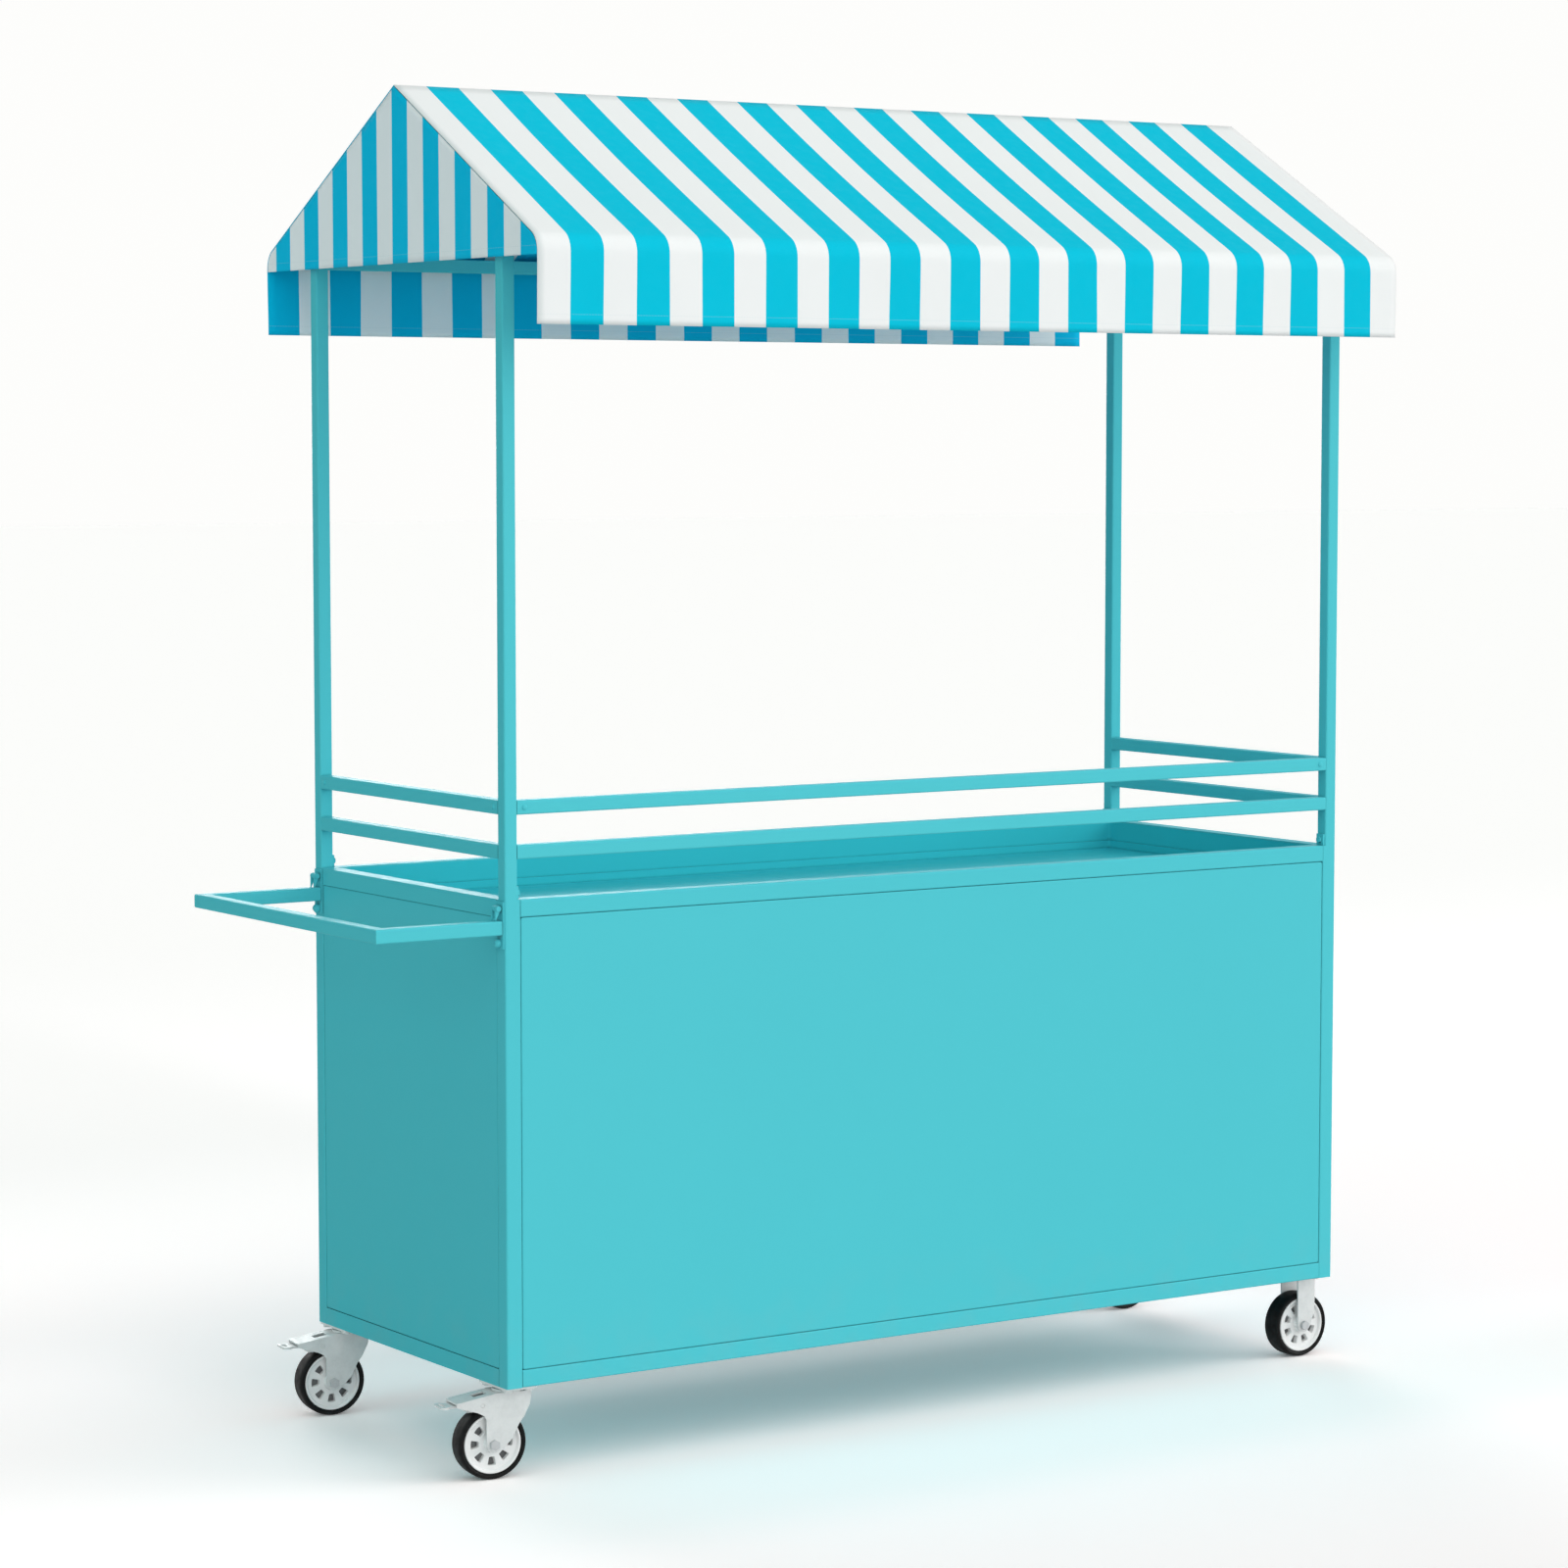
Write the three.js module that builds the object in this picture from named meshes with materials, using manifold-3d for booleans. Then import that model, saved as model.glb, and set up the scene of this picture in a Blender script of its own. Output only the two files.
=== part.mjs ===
import * as THREE from 'three';
import { mergeVertices } from 'three/addons/utils/BufferGeometryUtils.js';
import Module from 'manifold-3d';

// Street vendor cart: a sheet steel cabinet on four casters with a sunken counter,
// guard rails, a push handle that folds up and a striped gable canopy on four posts.
// Millimetres, +Z up. X runs along the cart with the handle at -X, and customers stand at -Y.
// Shapes are drawn about the middle of the cabinet, and the finished cart is then moved
// so that its origin is on the floor, under the middle of its outer box.

const wasm = await Module();
wasm.setup();

// Cabinet
const CABINET_LENGTH = 1500;
const CABINET_DEPTH = 570;
const COUNTER_HEIGHT = 820;
const CASTER_HEIGHT = 133;
const FRAME_TUBE = 25;
const FRAME_WALL = 1.5;
const TUBE_ROUND = 2;
const SEAT_GAP = 0.3;
const WELD_DEPTH = 0.4;
const SHEET = 1.5;
const PAN_DEPTH = 12;
const PAN_EDGE_ROUND = 1.8;
const PAN_CORNER_ROUND = 3;
const PANEL_SETBACK = 0.5;
const SHELF_HEIGHT = 470;
const SHELF_LIP = 20;
const LEDGE_SHEET = 2;
const LEDGE_HEIGHT = 25;
const LEDGE_REACH = 25;
const CORNER_PLATE_LENGTH = 40;
const CORNER_PLATE_WIDTH = 72;
const CORNER_PLATE_SHEET = 4;

// Counter tray
const TRAY_DEPTH = 45;
const TRAY_STEP_DROP = 33;
const TRAY_STEP = 5;
const TRAY_SHEET = 1.2;
const TRAY_RIM_DROP = 2;
const TRAY_CORNER_ROUND = 4;

// Posts and guard rails
const POST_TUBE = 20;
const POST_WALL = 1.2;
const LOWER_GUARD_GAP = 56;
const UPPER_GUARD_GAP = 42;
const GUARD_SCREW_INSET = 12;
const SCREW_RADIUS = 4.5;
const SCREW_HEAD = 2.4;
const FOOT_TAB_SHEET = 3;
const FOOT_TAB_HEIGHT = 18;
const FOOT_TAB_WIDTH = 16;
const FOOT_BOLT_RADIUS = 5;
const FOOT_BOLT_HEAD = 4;

// Canopy
const RIDGE_HEIGHT = 1957;
const ROOF_RISE = 229;
const SIDE_OVERHANG = 117;
const END_OVERHANG = 12;
const VALANCE_DROP = 117;
const GABLE_HEM_DROP = 23;
const BEND_RADIUS = 32;
const CLOTH = 1.6;

// Push handle
const HANDLE_REACH = 200;
const HANDLE_TUBE = 20;
const HANDLE_WALL = 1.5;
const HANDLE_DROP = 29;
const HANDLE_INSET = 3;
const HANDLE_END_GAP = 0.5;
const BRACKET_SHEET = 2;
const BRACKET_WIDTH = 22;
const BRACKET_MARGIN = 2;
const HINGE_RADIUS = 4.5;
const HINGE_CLEARANCE = 0.6;
const HINGE_SIDE_GAP = 0.4;
const HINGE_LUG_WIDTH = 6;
const HINGE_CHEEK = 3;
const PIVOT_RISE = 17;
const HINGE_PIN_RADIUS = 2;
const HINGE_PIN_HEAD_RADIUS = 4;
const HINGE_PIN_HEAD = 1.5;
const PIN_CLEARANCE = 0.3;
const STOP_RADIUS = 6.5;
const STOP_REACH = 8;
const STOP_GAP = 5;

// Casters
const WHEEL_RADIUS = 51;
const TYRE_WIDTH = 34;
const TYRE_FACE_WIDTH = 30;
const TYRE_TREAD_WIDTH = 22;
const TYRE_SIDE_DROP = 4;
const RIM_RADIUS = 42.5;
const RIM_WIDTH = 31;
const RIM_LIP = 4.5;
const WEB_WIDTH = 22;
const HUB_RADIUS = 11;
const HUB_WIDTH = 35;
const HUB_SLOPE = 2;
const WINDOW_RADIUS = 25.4;
const WINDOW_DEPTH = 12.6;
const WINDOW_WIDE = 13;
const WINDOW_NARROW = 7.4;
const WEB_CORE = 5;
const AXLE_RADIUS = 4;
const AXLE_HEAD_RADIUS = 7.5;
const AXLE_HEAD = 5;
const FORK_SHEET = 2.5;
const FORK_INSIDE = 38;
const LEG_ROUND = 11.5;
const SWIVEL_INSET_X = 25;
const SWIVEL_INSET_Y = 43;
const RIGID_INSET_X = 22;
const RIGID_INSET_Y = 60;
const PLATE_SHEET = 3;
const PLATE_LENGTH = 80;
const DOME_HEIGHT = 3.2;
const DOME_RADIUS = 20;
const RACE_HEIGHT = 2.5;
const RACE_RADIUS = 23;
const TRAIL = 29;
const KINGPIN_RADIUS = 6;
const KINGPIN_HEAD_RADIUS = 10;
const KINGPIN_HEAD = 5;
const FORK_NOSE = 27;
const WING_REACH = 85;
const WING_DROP = 10;
const WING_SLOT_NEAR = 35;
const WING_SLOT_FAR = 55;
const WING_SLOT_WIDTH = 16;
const PEDAL_SHEET = 3;
const PEDAL_DROP = 12;
const PEDAL_REACH = 106;
const PEDAL_PAD = 14;
const PEDAL_WIDTH = 36;
const PEDAL_STEM_WIDTH = 26;
const PEDAL_SLOT_WIDTH = 18;
const PEDAL_SLOT = 6;
const PEDAL_SLOT_ROUND = 2.7;
const PEDAL_ROUND = 6;
const PEDAL_PIVOT_X = 46;
const PEDAL_PIN_RADIUS = 3;
const PEDAL_HUB_RADIUS = 5.5;
const SHOE_NEAR = 57;
const SHOE_FAR = 65;
const SHOE_DEPTH = 12;
const SHOE_WIDTH = 20;
const BOLT_RADIUS = 6.5;
const BOLT_HEAD = 4;
const BOLT_SPACING_Y = 60;
const BOLT_EDGE = 8;
const RIGID_LEG_BACK = 13;
const RIGID_LEG_FRONT = 22;

// Doors
const DOOR_GAP = 3;
const DOOR_SIDE_GAP = 1.5;
const DOOR_RISE = 2;
const DOOR_HINGE_LENGTH = 60;
const DOOR_HINGE_INSET = 90;
const DOOR_KNUCKLE_RADIUS = 4;
const DOOR_PIN_RADIUS = 2;
const DOOR_PIN_CLEARANCE = 0.35;
const DOOR_LEAF_SHEET = 2;
const DOOR_LEAF_WIDTH = 20;
const KNUCKLE_GAP = 0.3;
const PULL_LENGTH = 110;
const PULL_REACH = 28;
const PULL_RADIUS = 4.5;
const PULL_BEND = 12;
const PULL_INSET = 45;
const CUT_OVERRUN = 5;

// Angles in degrees, and counts
const CASTER_TURN = -8;
const LEG_ARC_END = 333;
const BEND_STEPS = 6;
const CORNER_STEPS = 2;
const WHEEL_SIDES = 32;
const ROUND_SIDES = 16;
const SMALL_SIDES = 8;
const HEX_SIDES = 6;
const WINDOW_COUNT = 8;
const KNUCKLE_COUNT = 3;
const BEND_POINTS = 3;

// Edge of a folded sheet: shares of its rounding, across the face and down the side
const PAN_EDGE_SHARES = [[1, 0], [0.3, 0.3], [0, 1]];
// Front edge of a swivel fork's cheek: shares of the way from the axle to the nose and to the top
const CHEEK_FRONT_SHARES =
  [[0.24, -0.1], [0.49, 0.1], [0.67, 0.37], [0.82, 0.52], [0.97, 0.76], [1, 1]];
// Lower edge of its wing: shares of the way from the axle to the wing's tip and to the top
const CHEEK_WING_SHARES = [[1, 0.79], [0.86, 0.75], [0.44, 0.65], [0.27, 0.58]];
// Rigid leg: shares of its reach in front of the axle and of its height over the axle
const RIGID_LEG_SHARES = [[0.6, -0.02], [0.95, 0.25], [1, 0.5], [1, 1]];
// Outer corner of an eave rail: share of the way round the roof's bend, up from the valance
const EAVE_CORNER_SHARE = 0.7;
// Low dome of a screw head: shares of its radius and of its height
const SCREW_SHARES = [[0, 0], [1, 0], [0.85, 0.65], [0.4, 1], [0, 1]];

// Materials
const material = (color, roughness, metalness) =>
  new THREE.MeshStandardMaterial({ color, roughness, metalness, flatShading: true });
const PAINT = material(0x54cad4, 0.42, 0.1);
const ZINC = material(0xc3c6c9, 0.35, 0.9);
const WHITE_PLASTIC = material(0xe6e7e8, 0.45, 0);
const RUBBER = material(0x1b1b1c, 0.8, 0);
const CLOTH_BLUE = material(0x00c6e2, 0.85, 0);

// Places that several pieces share
const halfLength = CABINET_LENGTH / 2;
const halfDepth = CABINET_DEPTH / 2;
const innerX = halfLength - FRAME_TUBE;
const innerY = halfDepth - FRAME_TUBE;
const openBottom = CASTER_HEIGHT + FRAME_TUBE;
const openTop = COUNTER_HEIGHT - FRAME_TUBE;
const postX = halfLength - POST_TUBE / 2;
const postY = halfDepth - POST_TUBE / 2;
const lowerGuard = COUNTER_HEIGHT + LOWER_GUARD_GAP + POST_TUBE / 2;
const upperGuard = lowerGuard + POST_TUBE + UPPER_GUARD_GAP;
const panInside = halfDepth - PANEL_SETBACK - PAN_DEPTH;
const panInsideX = halfLength - PANEL_SETBACK - PAN_DEPTH;
const SIDES = [-1, 1];

// Roof section: half span, slope and the bend where the roof turns into the valance
const halfSpan = halfDepth + SIDE_OVERHANG;
const eaveHeight = RIDGE_HEIGHT - ROOF_RISE;
const slope = ROOF_RISE / halfSpan;
const slopeAngle = Math.atan(slope);
const bendTurn = Math.PI / 2 - slopeAngle;
const bendY = halfSpan - BEND_RADIUS;
const bendZ = eaveHeight - BEND_RADIUS * Math.tan(bendTurn / 2);
const hemZ = eaveHeight - VALANCE_DROP;
const gableHemZ = eaveHeight - GABLE_HEM_DROP;
const clothInside = CLOTH + SEAT_GAP;
const cornerAngle = bendTurn * EAVE_CORNER_SHARE;
const eaveOuter = bendY + (BEND_RADIUS - clothInside) * Math.cos(cornerAngle);
const eaveTop = bendZ + (BEND_RADIUS - clothInside) * Math.sin(cornerAngle);
const eaveBottom = eaveTop - POST_TUBE;
const eaveInner = eaveOuter - POST_TUBE;
const roofHalfLength = halfLength + END_OVERHANG;
const railHalfLength = roofHalfLength - clothInside;

// Geometry helpers

// Welds shared corners and drops the empty triangles that a revolve leaves on its axis
function plain(geometry) {
  const bare = new THREE.BufferGeometry();
  bare.setAttribute('position', geometry.getAttribute('position'));
  bare.setIndex(geometry.getIndex());
  const welded = mergeVertices(bare);
  const corners = welded.getIndex().array;
  const kept = [];
  for (let i = 0; i < corners.length; i += 3) {
    const [a, b, c] = [corners[i], corners[i + 1], corners[i + 2]];
    if (a !== b && b !== c && c !== a) kept.push(a, b, c);
  }
  welded.setIndex(kept);
  return welded;
}

function toSolid(geometry) {
  const welded = plain(geometry);
  return new wasm.Manifold(new wasm.Mesh({
    numProp: 3,
    vertProperties: new Float32Array(welded.getAttribute('position').array),
    triVerts: new Uint32Array(welded.getIndex().array),
  }));
}

function fromSolid(solid) {
  const mesh = solid.getMesh();
  const geometry = new THREE.BufferGeometry();
  geometry.setAttribute('position', new THREE.BufferAttribute(mesh.vertProperties, 3));
  geometry.setIndex(new THREE.BufferAttribute(mesh.triVerts, 1));
  return geometry;
}

function join(...geometries) {
  return fromSolid(geometries.map(toSolid).reduce((sum, next) => sum.add(next)));
}

function cut(geometry, ...tools) {
  return fromSolid(tools.map(toSolid).reduce((left, tool) => left.subtract(tool), toSolid(geometry)));
}

const ordered = (a, b) => [Math.min(a, b), Math.max(a, b)];

// A box between two corners
function span([x0, x1], [y0, y1], [z0, z1]) {
  const box = new THREE.BoxGeometry(x1 - x0, y1 - y0, z1 - z0);
  return box.translate((x0 + x1) / 2, (y0 + y1) / 2, (z0 + z1) / 2);
}

function polygon(points) {
  return new THREE.Shape(points.map(([x, y]) => new THREE.Vector2(x, y)));
}

// A rectangle with round corners about (x, y)
function roundedRect(width, height, radius, x = 0, y = 0) {
  const [right, top] = [width / 2 - radius, height / 2 - radius];
  const shape = new THREE.Shape();
  shape.absarc(x + right, y + top, radius, 0, Math.PI / 2);
  shape.absarc(x - right, y + top, radius, Math.PI / 2, Math.PI);
  shape.absarc(x - right, y - top, radius, Math.PI, Math.PI * 1.5);
  shape.absarc(x + right, y - top, radius, Math.PI * 1.5, Math.PI * 2);
  shape.closePath();
  return shape;
}

// A plate of the given thickness, centred on the plane in which its outline is drawn
function plate(shape, thickness, curveSegments = CORNER_STEPS) {
  const settings = { depth: thickness, bevelEnabled: false, curveSegments };
  return new THREE.ExtrudeGeometry(shape, settings).translate(0, 0, -thickness / 2);
}

function plateXZ(shape, thickness, curveSegments) {
  return plate(shape, thickness, curveSegments).rotateX(Math.PI / 2);
}

function plateYZ(shape, thickness, curveSegments) {
  return plateXZ(shape, thickness, curveSegments).rotateZ(Math.PI / 2);
}

// A square tube along +Z from 0, whose ends may be sheared along X for a mitre
function tube(length, size, wall, startSkew = 0, endSkew = 0) {
  const bore = size - wall * 2;
  const shape = roundedRect(size, size, TUBE_ROUND);
  shape.holes.push(polygon([[-bore, -bore], [-bore, bore], [bore, bore], [bore, -bore]]
    .map(([x, y]) => [x / 2, y / 2])));
  const settings = { depth: length, bevelEnabled: false, curveSegments: 1 };
  const geometry = new THREE.ExtrudeGeometry(shape, settings);
  const position = geometry.getAttribute('position');
  for (let i = 0; i < position.count; i += 1) {
    const skew = position.getZ(i) > length / 2 ? endSkew : startSkew;
    position.setZ(i, position.getZ(i) + skew * position.getX(i));
  }
  return geometry;
}

function tubeX([from, to], y, z, size, wall) {
  return tube(to - from, size, wall).rotateY(Math.PI / 2).translate(from, y, z);
}

function tubeY([from, to], x, z, size, wall) {
  return tube(to - from, size, wall).rotateX(-Math.PI / 2).translate(x, from, z);
}

function tubeZ([from, to], x, y, size, wall) {
  return tube(to - from, size, wall).translate(x, y, from);
}

// A ring of corners round a rectangle with round corners, at height z
function rectRing(width, height, radius, z) {
  const outline = roundedRect(width, height, radius).extractPoints(1).shape.slice(0, -1);
  return outline.map((point) => new THREE.Vector3(point.x, point.y, z));
}

// A closed skin over a run of rings, capped flat at its first and last ring
function skin(rings) {
  const count = rings[0].length;
  const corners = [];
  const cap = (ring, flip) => {
    for (let i = 1; i < count - 1; i += 1) {
      corners.push(...(flip ? [ring[0], ring[i + 1], ring[i]] : [ring[0], ring[i], ring[i + 1]]));
    }
  };
  cap(rings[0], false);
  for (let r = 0; r < rings.length - 1; r += 1) {
    for (let i = 0; i < count; i += 1) {
      const j = (i + 1) % count;
      const [a, b, c, d] = [rings[r][i], rings[r][j], rings[r + 1][j], rings[r + 1][i]];
      corners.push(a, c, b, a, d, c);
    }
  }
  cap(rings[rings.length - 1], true);
  return new THREE.BufferGeometry().setFromPoints(corners);
}

// A sheet folded back on all four sides, face up at z = 0, with softly rounded folds
function pan(width, height) {
  const ring = (inset, z) => rectRing(
    width - inset * 2, height - inset * 2, Math.max(PAN_CORNER_ROUND - inset, SHEET / 2), z,
  );
  const face = PAN_EDGE_SHARES.map(([across, down]) =>
    ring(across * PAN_EDGE_ROUND, -down * PAN_EDGE_ROUND));
  return skin([...face, ring(0, -PAN_DEPTH), ring(SHEET, -PAN_DEPTH), ring(SHEET, -SHEET)]);
}

function cylinder(radius, length, sides = ROUND_SIDES) {
  return new THREE.CylinderGeometry(radius, radius, length, sides);
}

function cylinderX(radius, [from, to], y, z, sides) {
  return cylinder(radius, to - from, sides).rotateZ(Math.PI / 2).translate((from + to) / 2, y, z);
}

function cylinderY(radius, [from, to], x, z, sides) {
  return cylinder(radius, to - from, sides).translate(x, (from + to) / 2, z);
}

function cylinderZ(radius, [from, to], x, y, sides) {
  return cylinder(radius, to - from, sides).rotateX(Math.PI / 2).translate(x, y, (from + to) / 2);
}

// A profile of [radius, height] points turned about the Y axis
function turned(points, sides) {
  return new THREE.LatheGeometry(points.map(([r, h]) => new THREE.Vector2(r, h)), sides);
}

// A domed screw head that stands on the plane y = 0 and rises along +Y
function screwHead() {
  return turned(SCREW_SHARES.map(([r, h]) => [r * SCREW_RADIUS, h * SCREW_HEAD]), SMALL_SIDES);
}

function add(parent, name, geometry, finish) {
  const mesh = new THREE.Mesh(plain(geometry), finish);
  mesh.name = name;
  parent.add(mesh);
}

// Cabinet frame

const frameMiddleX = halfLength - FRAME_TUBE / 2;
const frameMiddleY = halfDepth - FRAME_TUBE / 2;
const railHeights = [CASTER_HEIGHT + FRAME_TUBE / 2, COUNTER_HEIGHT - FRAME_TUBE / 2];

// A corner post as a solid column, before its bore is cut
function postColumn(side, sy) {
  const height = COUNTER_HEIGHT - CASTER_HEIGHT;
  return plate(roundedRect(FRAME_TUBE, FRAME_TUBE, TUBE_ROUND), height, 1)
    .translate(side * frameMiddleX, sy * frameMiddleY, CASTER_HEIGHT + height / 2);
}

// The bore of a corner post, open at its foot and closed by a welded cap at the counter
function postBore(side, sy) {
  const [x, y, inside] = [side * frameMiddleX, sy * frameMiddleY, FRAME_TUBE / 2 - FRAME_WALL];
  return span([x - inside, x + inside], [y - inside, y + inside],
    [CASTER_HEIGHT - CUT_OVERRUN, COUNTER_HEIGHT - FRAME_WALL]);
}

// A rail between the posts as a solid bar, and its bore, which runs on into the posts' bores
function railBar(side, z) {
  const half = FRAME_TUBE / 2;
  return span([side * frameMiddleX - half, side * frameMiddleX + half],
    [-innerY - WELD_DEPTH, innerY + WELD_DEPTH], [z - half, z + half]);
}

function railBore(side, z) {
  const [x, half] = [side * frameMiddleX, FRAME_TUBE / 2 - FRAME_WALL];
  return span([x - half, x + half], [-frameMiddleY, frameMiddleY], [z - half, z + half]);
}

// A flat plate in a lower corner, which the inner bolts of a caster pass through
function cornerPlate(side, sy) {
  const x = side * (innerX - CORNER_PLATE_LENGTH / 2 + WELD_DEPTH);
  const y = sy * (innerY - CORNER_PLATE_WIDTH / 2);
  const block = new THREE.BoxGeometry(CORNER_PLATE_LENGTH, CORNER_PLATE_WIDTH, CORNER_PLATE_SHEET);
  return block.translate(x, y, CASTER_HEIGHT + CORNER_PLATE_SHEET / 2);
}

// A tab on a corner post's cap that the foot of an upper post is bolted to, with the bolt's head
function footTab(side, sy) {
  const face = halfLength - POST_TUBE - FOOT_TAB_SHEET;
  const [y, half] = [sy * postY, FOOT_TAB_WIDTH / 2];
  const tab = span(ordered(side * face, side * (face + FOOT_TAB_SHEET)), [y - half, y + half],
    [COUNTER_HEIGHT - WELD_DEPTH, COUNTER_HEIGHT + FOOT_TAB_HEIGHT]);
  const bolt = cylinderX(FOOT_BOLT_RADIUS,
    ordered(side * (face + WELD_DEPTH), side * (face - FOOT_BOLT_HEAD)),
    y, COUNTER_HEIGHT + FOOT_TAB_HEIGHT / 2, HEX_SIDES);
  return join(tab, bolt);
}

// An angle between the two posts of one end, on which that end of the shelf rests
function shelfLedge(side) {
  const outer = panInsideX - SEAT_GAP;
  const inner = innerX - LEDGE_REACH;
  const top = SHELF_HEIGHT - SHEET;
  const shape = polygon([
    [outer, top - LEDGE_HEIGHT], [outer, top], [inner, top], [inner, top - LEDGE_SHEET],
    [outer - LEDGE_SHEET, top - LEDGE_SHEET], [outer - LEDGE_SHEET, top - LEDGE_HEIGHT],
  ]);
  return plateXZ(shape, (innerY + WELD_DEPTH) * 2).rotateZ(side < 0 ? Math.PI : 0);
}

// One welded end of the cabinet: two posts, two rails and the fittings welded to them
function endFrame(side) {
  const bars = [...SIDES.map((sy) => postColumn(side, sy)),
    ...railHeights.map((z) => railBar(side, z))];
  const bores = [...SIDES.map((sy) => postBore(side, sy)),
    ...railHeights.map((z) => railBore(side, z))];
  const leaves = hingeHeights.map((z) => hingeLeaf(side, z, false));
  return join(cut(join(...bars), ...bores), ...SIDES.map((sy) => cornerPlate(side, sy)),
    ...SIDES.map((sy) => footTab(side, sy)), shelfLedge(side), ...leaves);
}

function addFrame(cart) {
  add(cart, 'left_end_frame', endFrame(-1), PAINT);
  add(cart, 'right_end_frame', endFrame(1), PAINT);
  for (const [name, sy] of [['front', -1], ['back', 1]]) {
    for (const [level, z] of [['bottom', railHeights[0]], ['top', railHeights[1]]]) {
      const rail = tubeX([-innerX, innerX], sy * frameMiddleY, z, FRAME_TUBE, FRAME_WALL);
      add(cart, `${name}_${level}_rail`, rail, PAINT);
    }
  }
}

// Cabinet panels

function addPanels(cart) {
  const height = openTop - openBottom - SEAT_GAP * 2;
  const middle = (openTop + openBottom) / 2;
  const front = pan(innerX * 2 - SEAT_GAP * 2, height).rotateX(Math.PI / 2);
  add(cart, 'front_panel', front.translate(0, PANEL_SETBACK - halfDepth, middle), PAINT);
  for (const [name, side] of [['left_panel', -1], ['right_panel', 1]]) {
    const end = pan(innerY * 2 - SEAT_GAP * 2, height).rotateX(Math.PI / 2);
    end.rotateZ(side * Math.PI / 2);
    add(cart, name, end.translate(side * (halfLength - PANEL_SETBACK), 0, middle), PAINT);
  }
}

// The cabinet's floor lies on the bottom rails and is notched round the posts
function cabinetFloor() {
  const x = panInsideX - SEAT_GAP;
  const y = panInside - SEAT_GAP;
  const [notchX, notchY] = [innerX - SEAT_GAP, innerY - SEAT_GAP];
  const shape = polygon([
    [-notchX, -y], [notchX, -y], [notchX, -notchY], [x, -notchY], [x, notchY], [notchX, notchY],
    [notchX, y], [-notchX, y], [-notchX, notchY], [-x, notchY], [-x, -notchY], [-notchX, -notchY],
  ]);
  return plate(shape, SHEET).translate(0, 0, openBottom + SHEET / 2);
}

// The shelf is a sheet with a lip folded down along its front and its back edge
function shelf() {
  const front = SEAT_GAP - panInside;
  const back = innerY + WELD_DEPTH + SEAT_GAP + SHEET;
  const under = SHELF_HEIGHT - SHEET;
  const shape = polygon([
    [front, SHELF_HEIGHT - SHELF_LIP], [front + SHEET, SHELF_HEIGHT - SHELF_LIP],
    [front + SHEET, under], [back - SHEET, under], [back - SHEET, SHELF_HEIGHT - SHELF_LIP],
    [back, SHELF_HEIGHT - SHELF_LIP], [back, SHELF_HEIGHT], [front, SHELF_HEIGHT],
  ]);
  return plateYZ(shape, (innerX - SEAT_GAP) * 2);
}

// The counter: a pressed tray with a small step above its floor, set inside the top rails
function counterTray() {
  const ring = (inset, z) => {
    const side = inset + SEAT_GAP;
    return rectRing((innerX - side) * 2, (innerY - side) * 2, TRAY_CORNER_ROUND, z);
  };
  const rim = COUNTER_HEIGHT - TRAY_RIM_DROP;
  const step = COUNTER_HEIGHT - TRAY_STEP_DROP;
  const floor = COUNTER_HEIGHT - TRAY_DEPTH;
  return skin([
    ring(TRAY_SHEET + TRAY_STEP, floor), ring(TRAY_SHEET + TRAY_STEP, step),
    ring(TRAY_SHEET, step), ring(TRAY_SHEET, rim), ring(0, rim), ring(0, step - TRAY_SHEET),
    ring(TRAY_STEP, step - TRAY_SHEET), ring(TRAY_STEP, floor - TRAY_SHEET),
  ]);
}

// Doors on the vendor's side

const hingeX = innerX - DOOR_SIDE_GAP;
const hingeY = halfDepth + DOOR_KNUCKLE_RADIUS;
const doorBottom = openBottom + DOOR_RISE;
const doorTop = openTop - DOOR_RISE;
const hingeHeights = [doorBottom + DOOR_HINGE_INSET, doorTop - DOOR_HINGE_INSET];
const doorEdge = hingeX - DOOR_SIDE_GAP;

// A door's folded sheet with its two hinge leaves welded on
function door(side) {
  const width = doorEdge - DOOR_GAP / 2;
  const middle = side * (DOOR_GAP / 2 + width / 2);
  const sheet = pan(width, doorTop - doorBottom).rotateX(Math.PI / 2).rotateZ(Math.PI)
    .translate(middle, halfDepth, (doorTop + doorBottom) / 2);
  return join(sheet, ...hingeHeights.map((z) => hingeLeaf(side, z, true)));
}

// The height span of knuckle number index of a hinge centred on z
function knuckleSpan(z, index) {
  const step = DOOR_HINGE_LENGTH / KNUCKLE_COUNT;
  const low = z - DOOR_HINGE_LENGTH / 2 + index * step;
  return [low + KNUCKLE_GAP / 2, low + step - KNUCKLE_GAP / 2];
}

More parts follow.
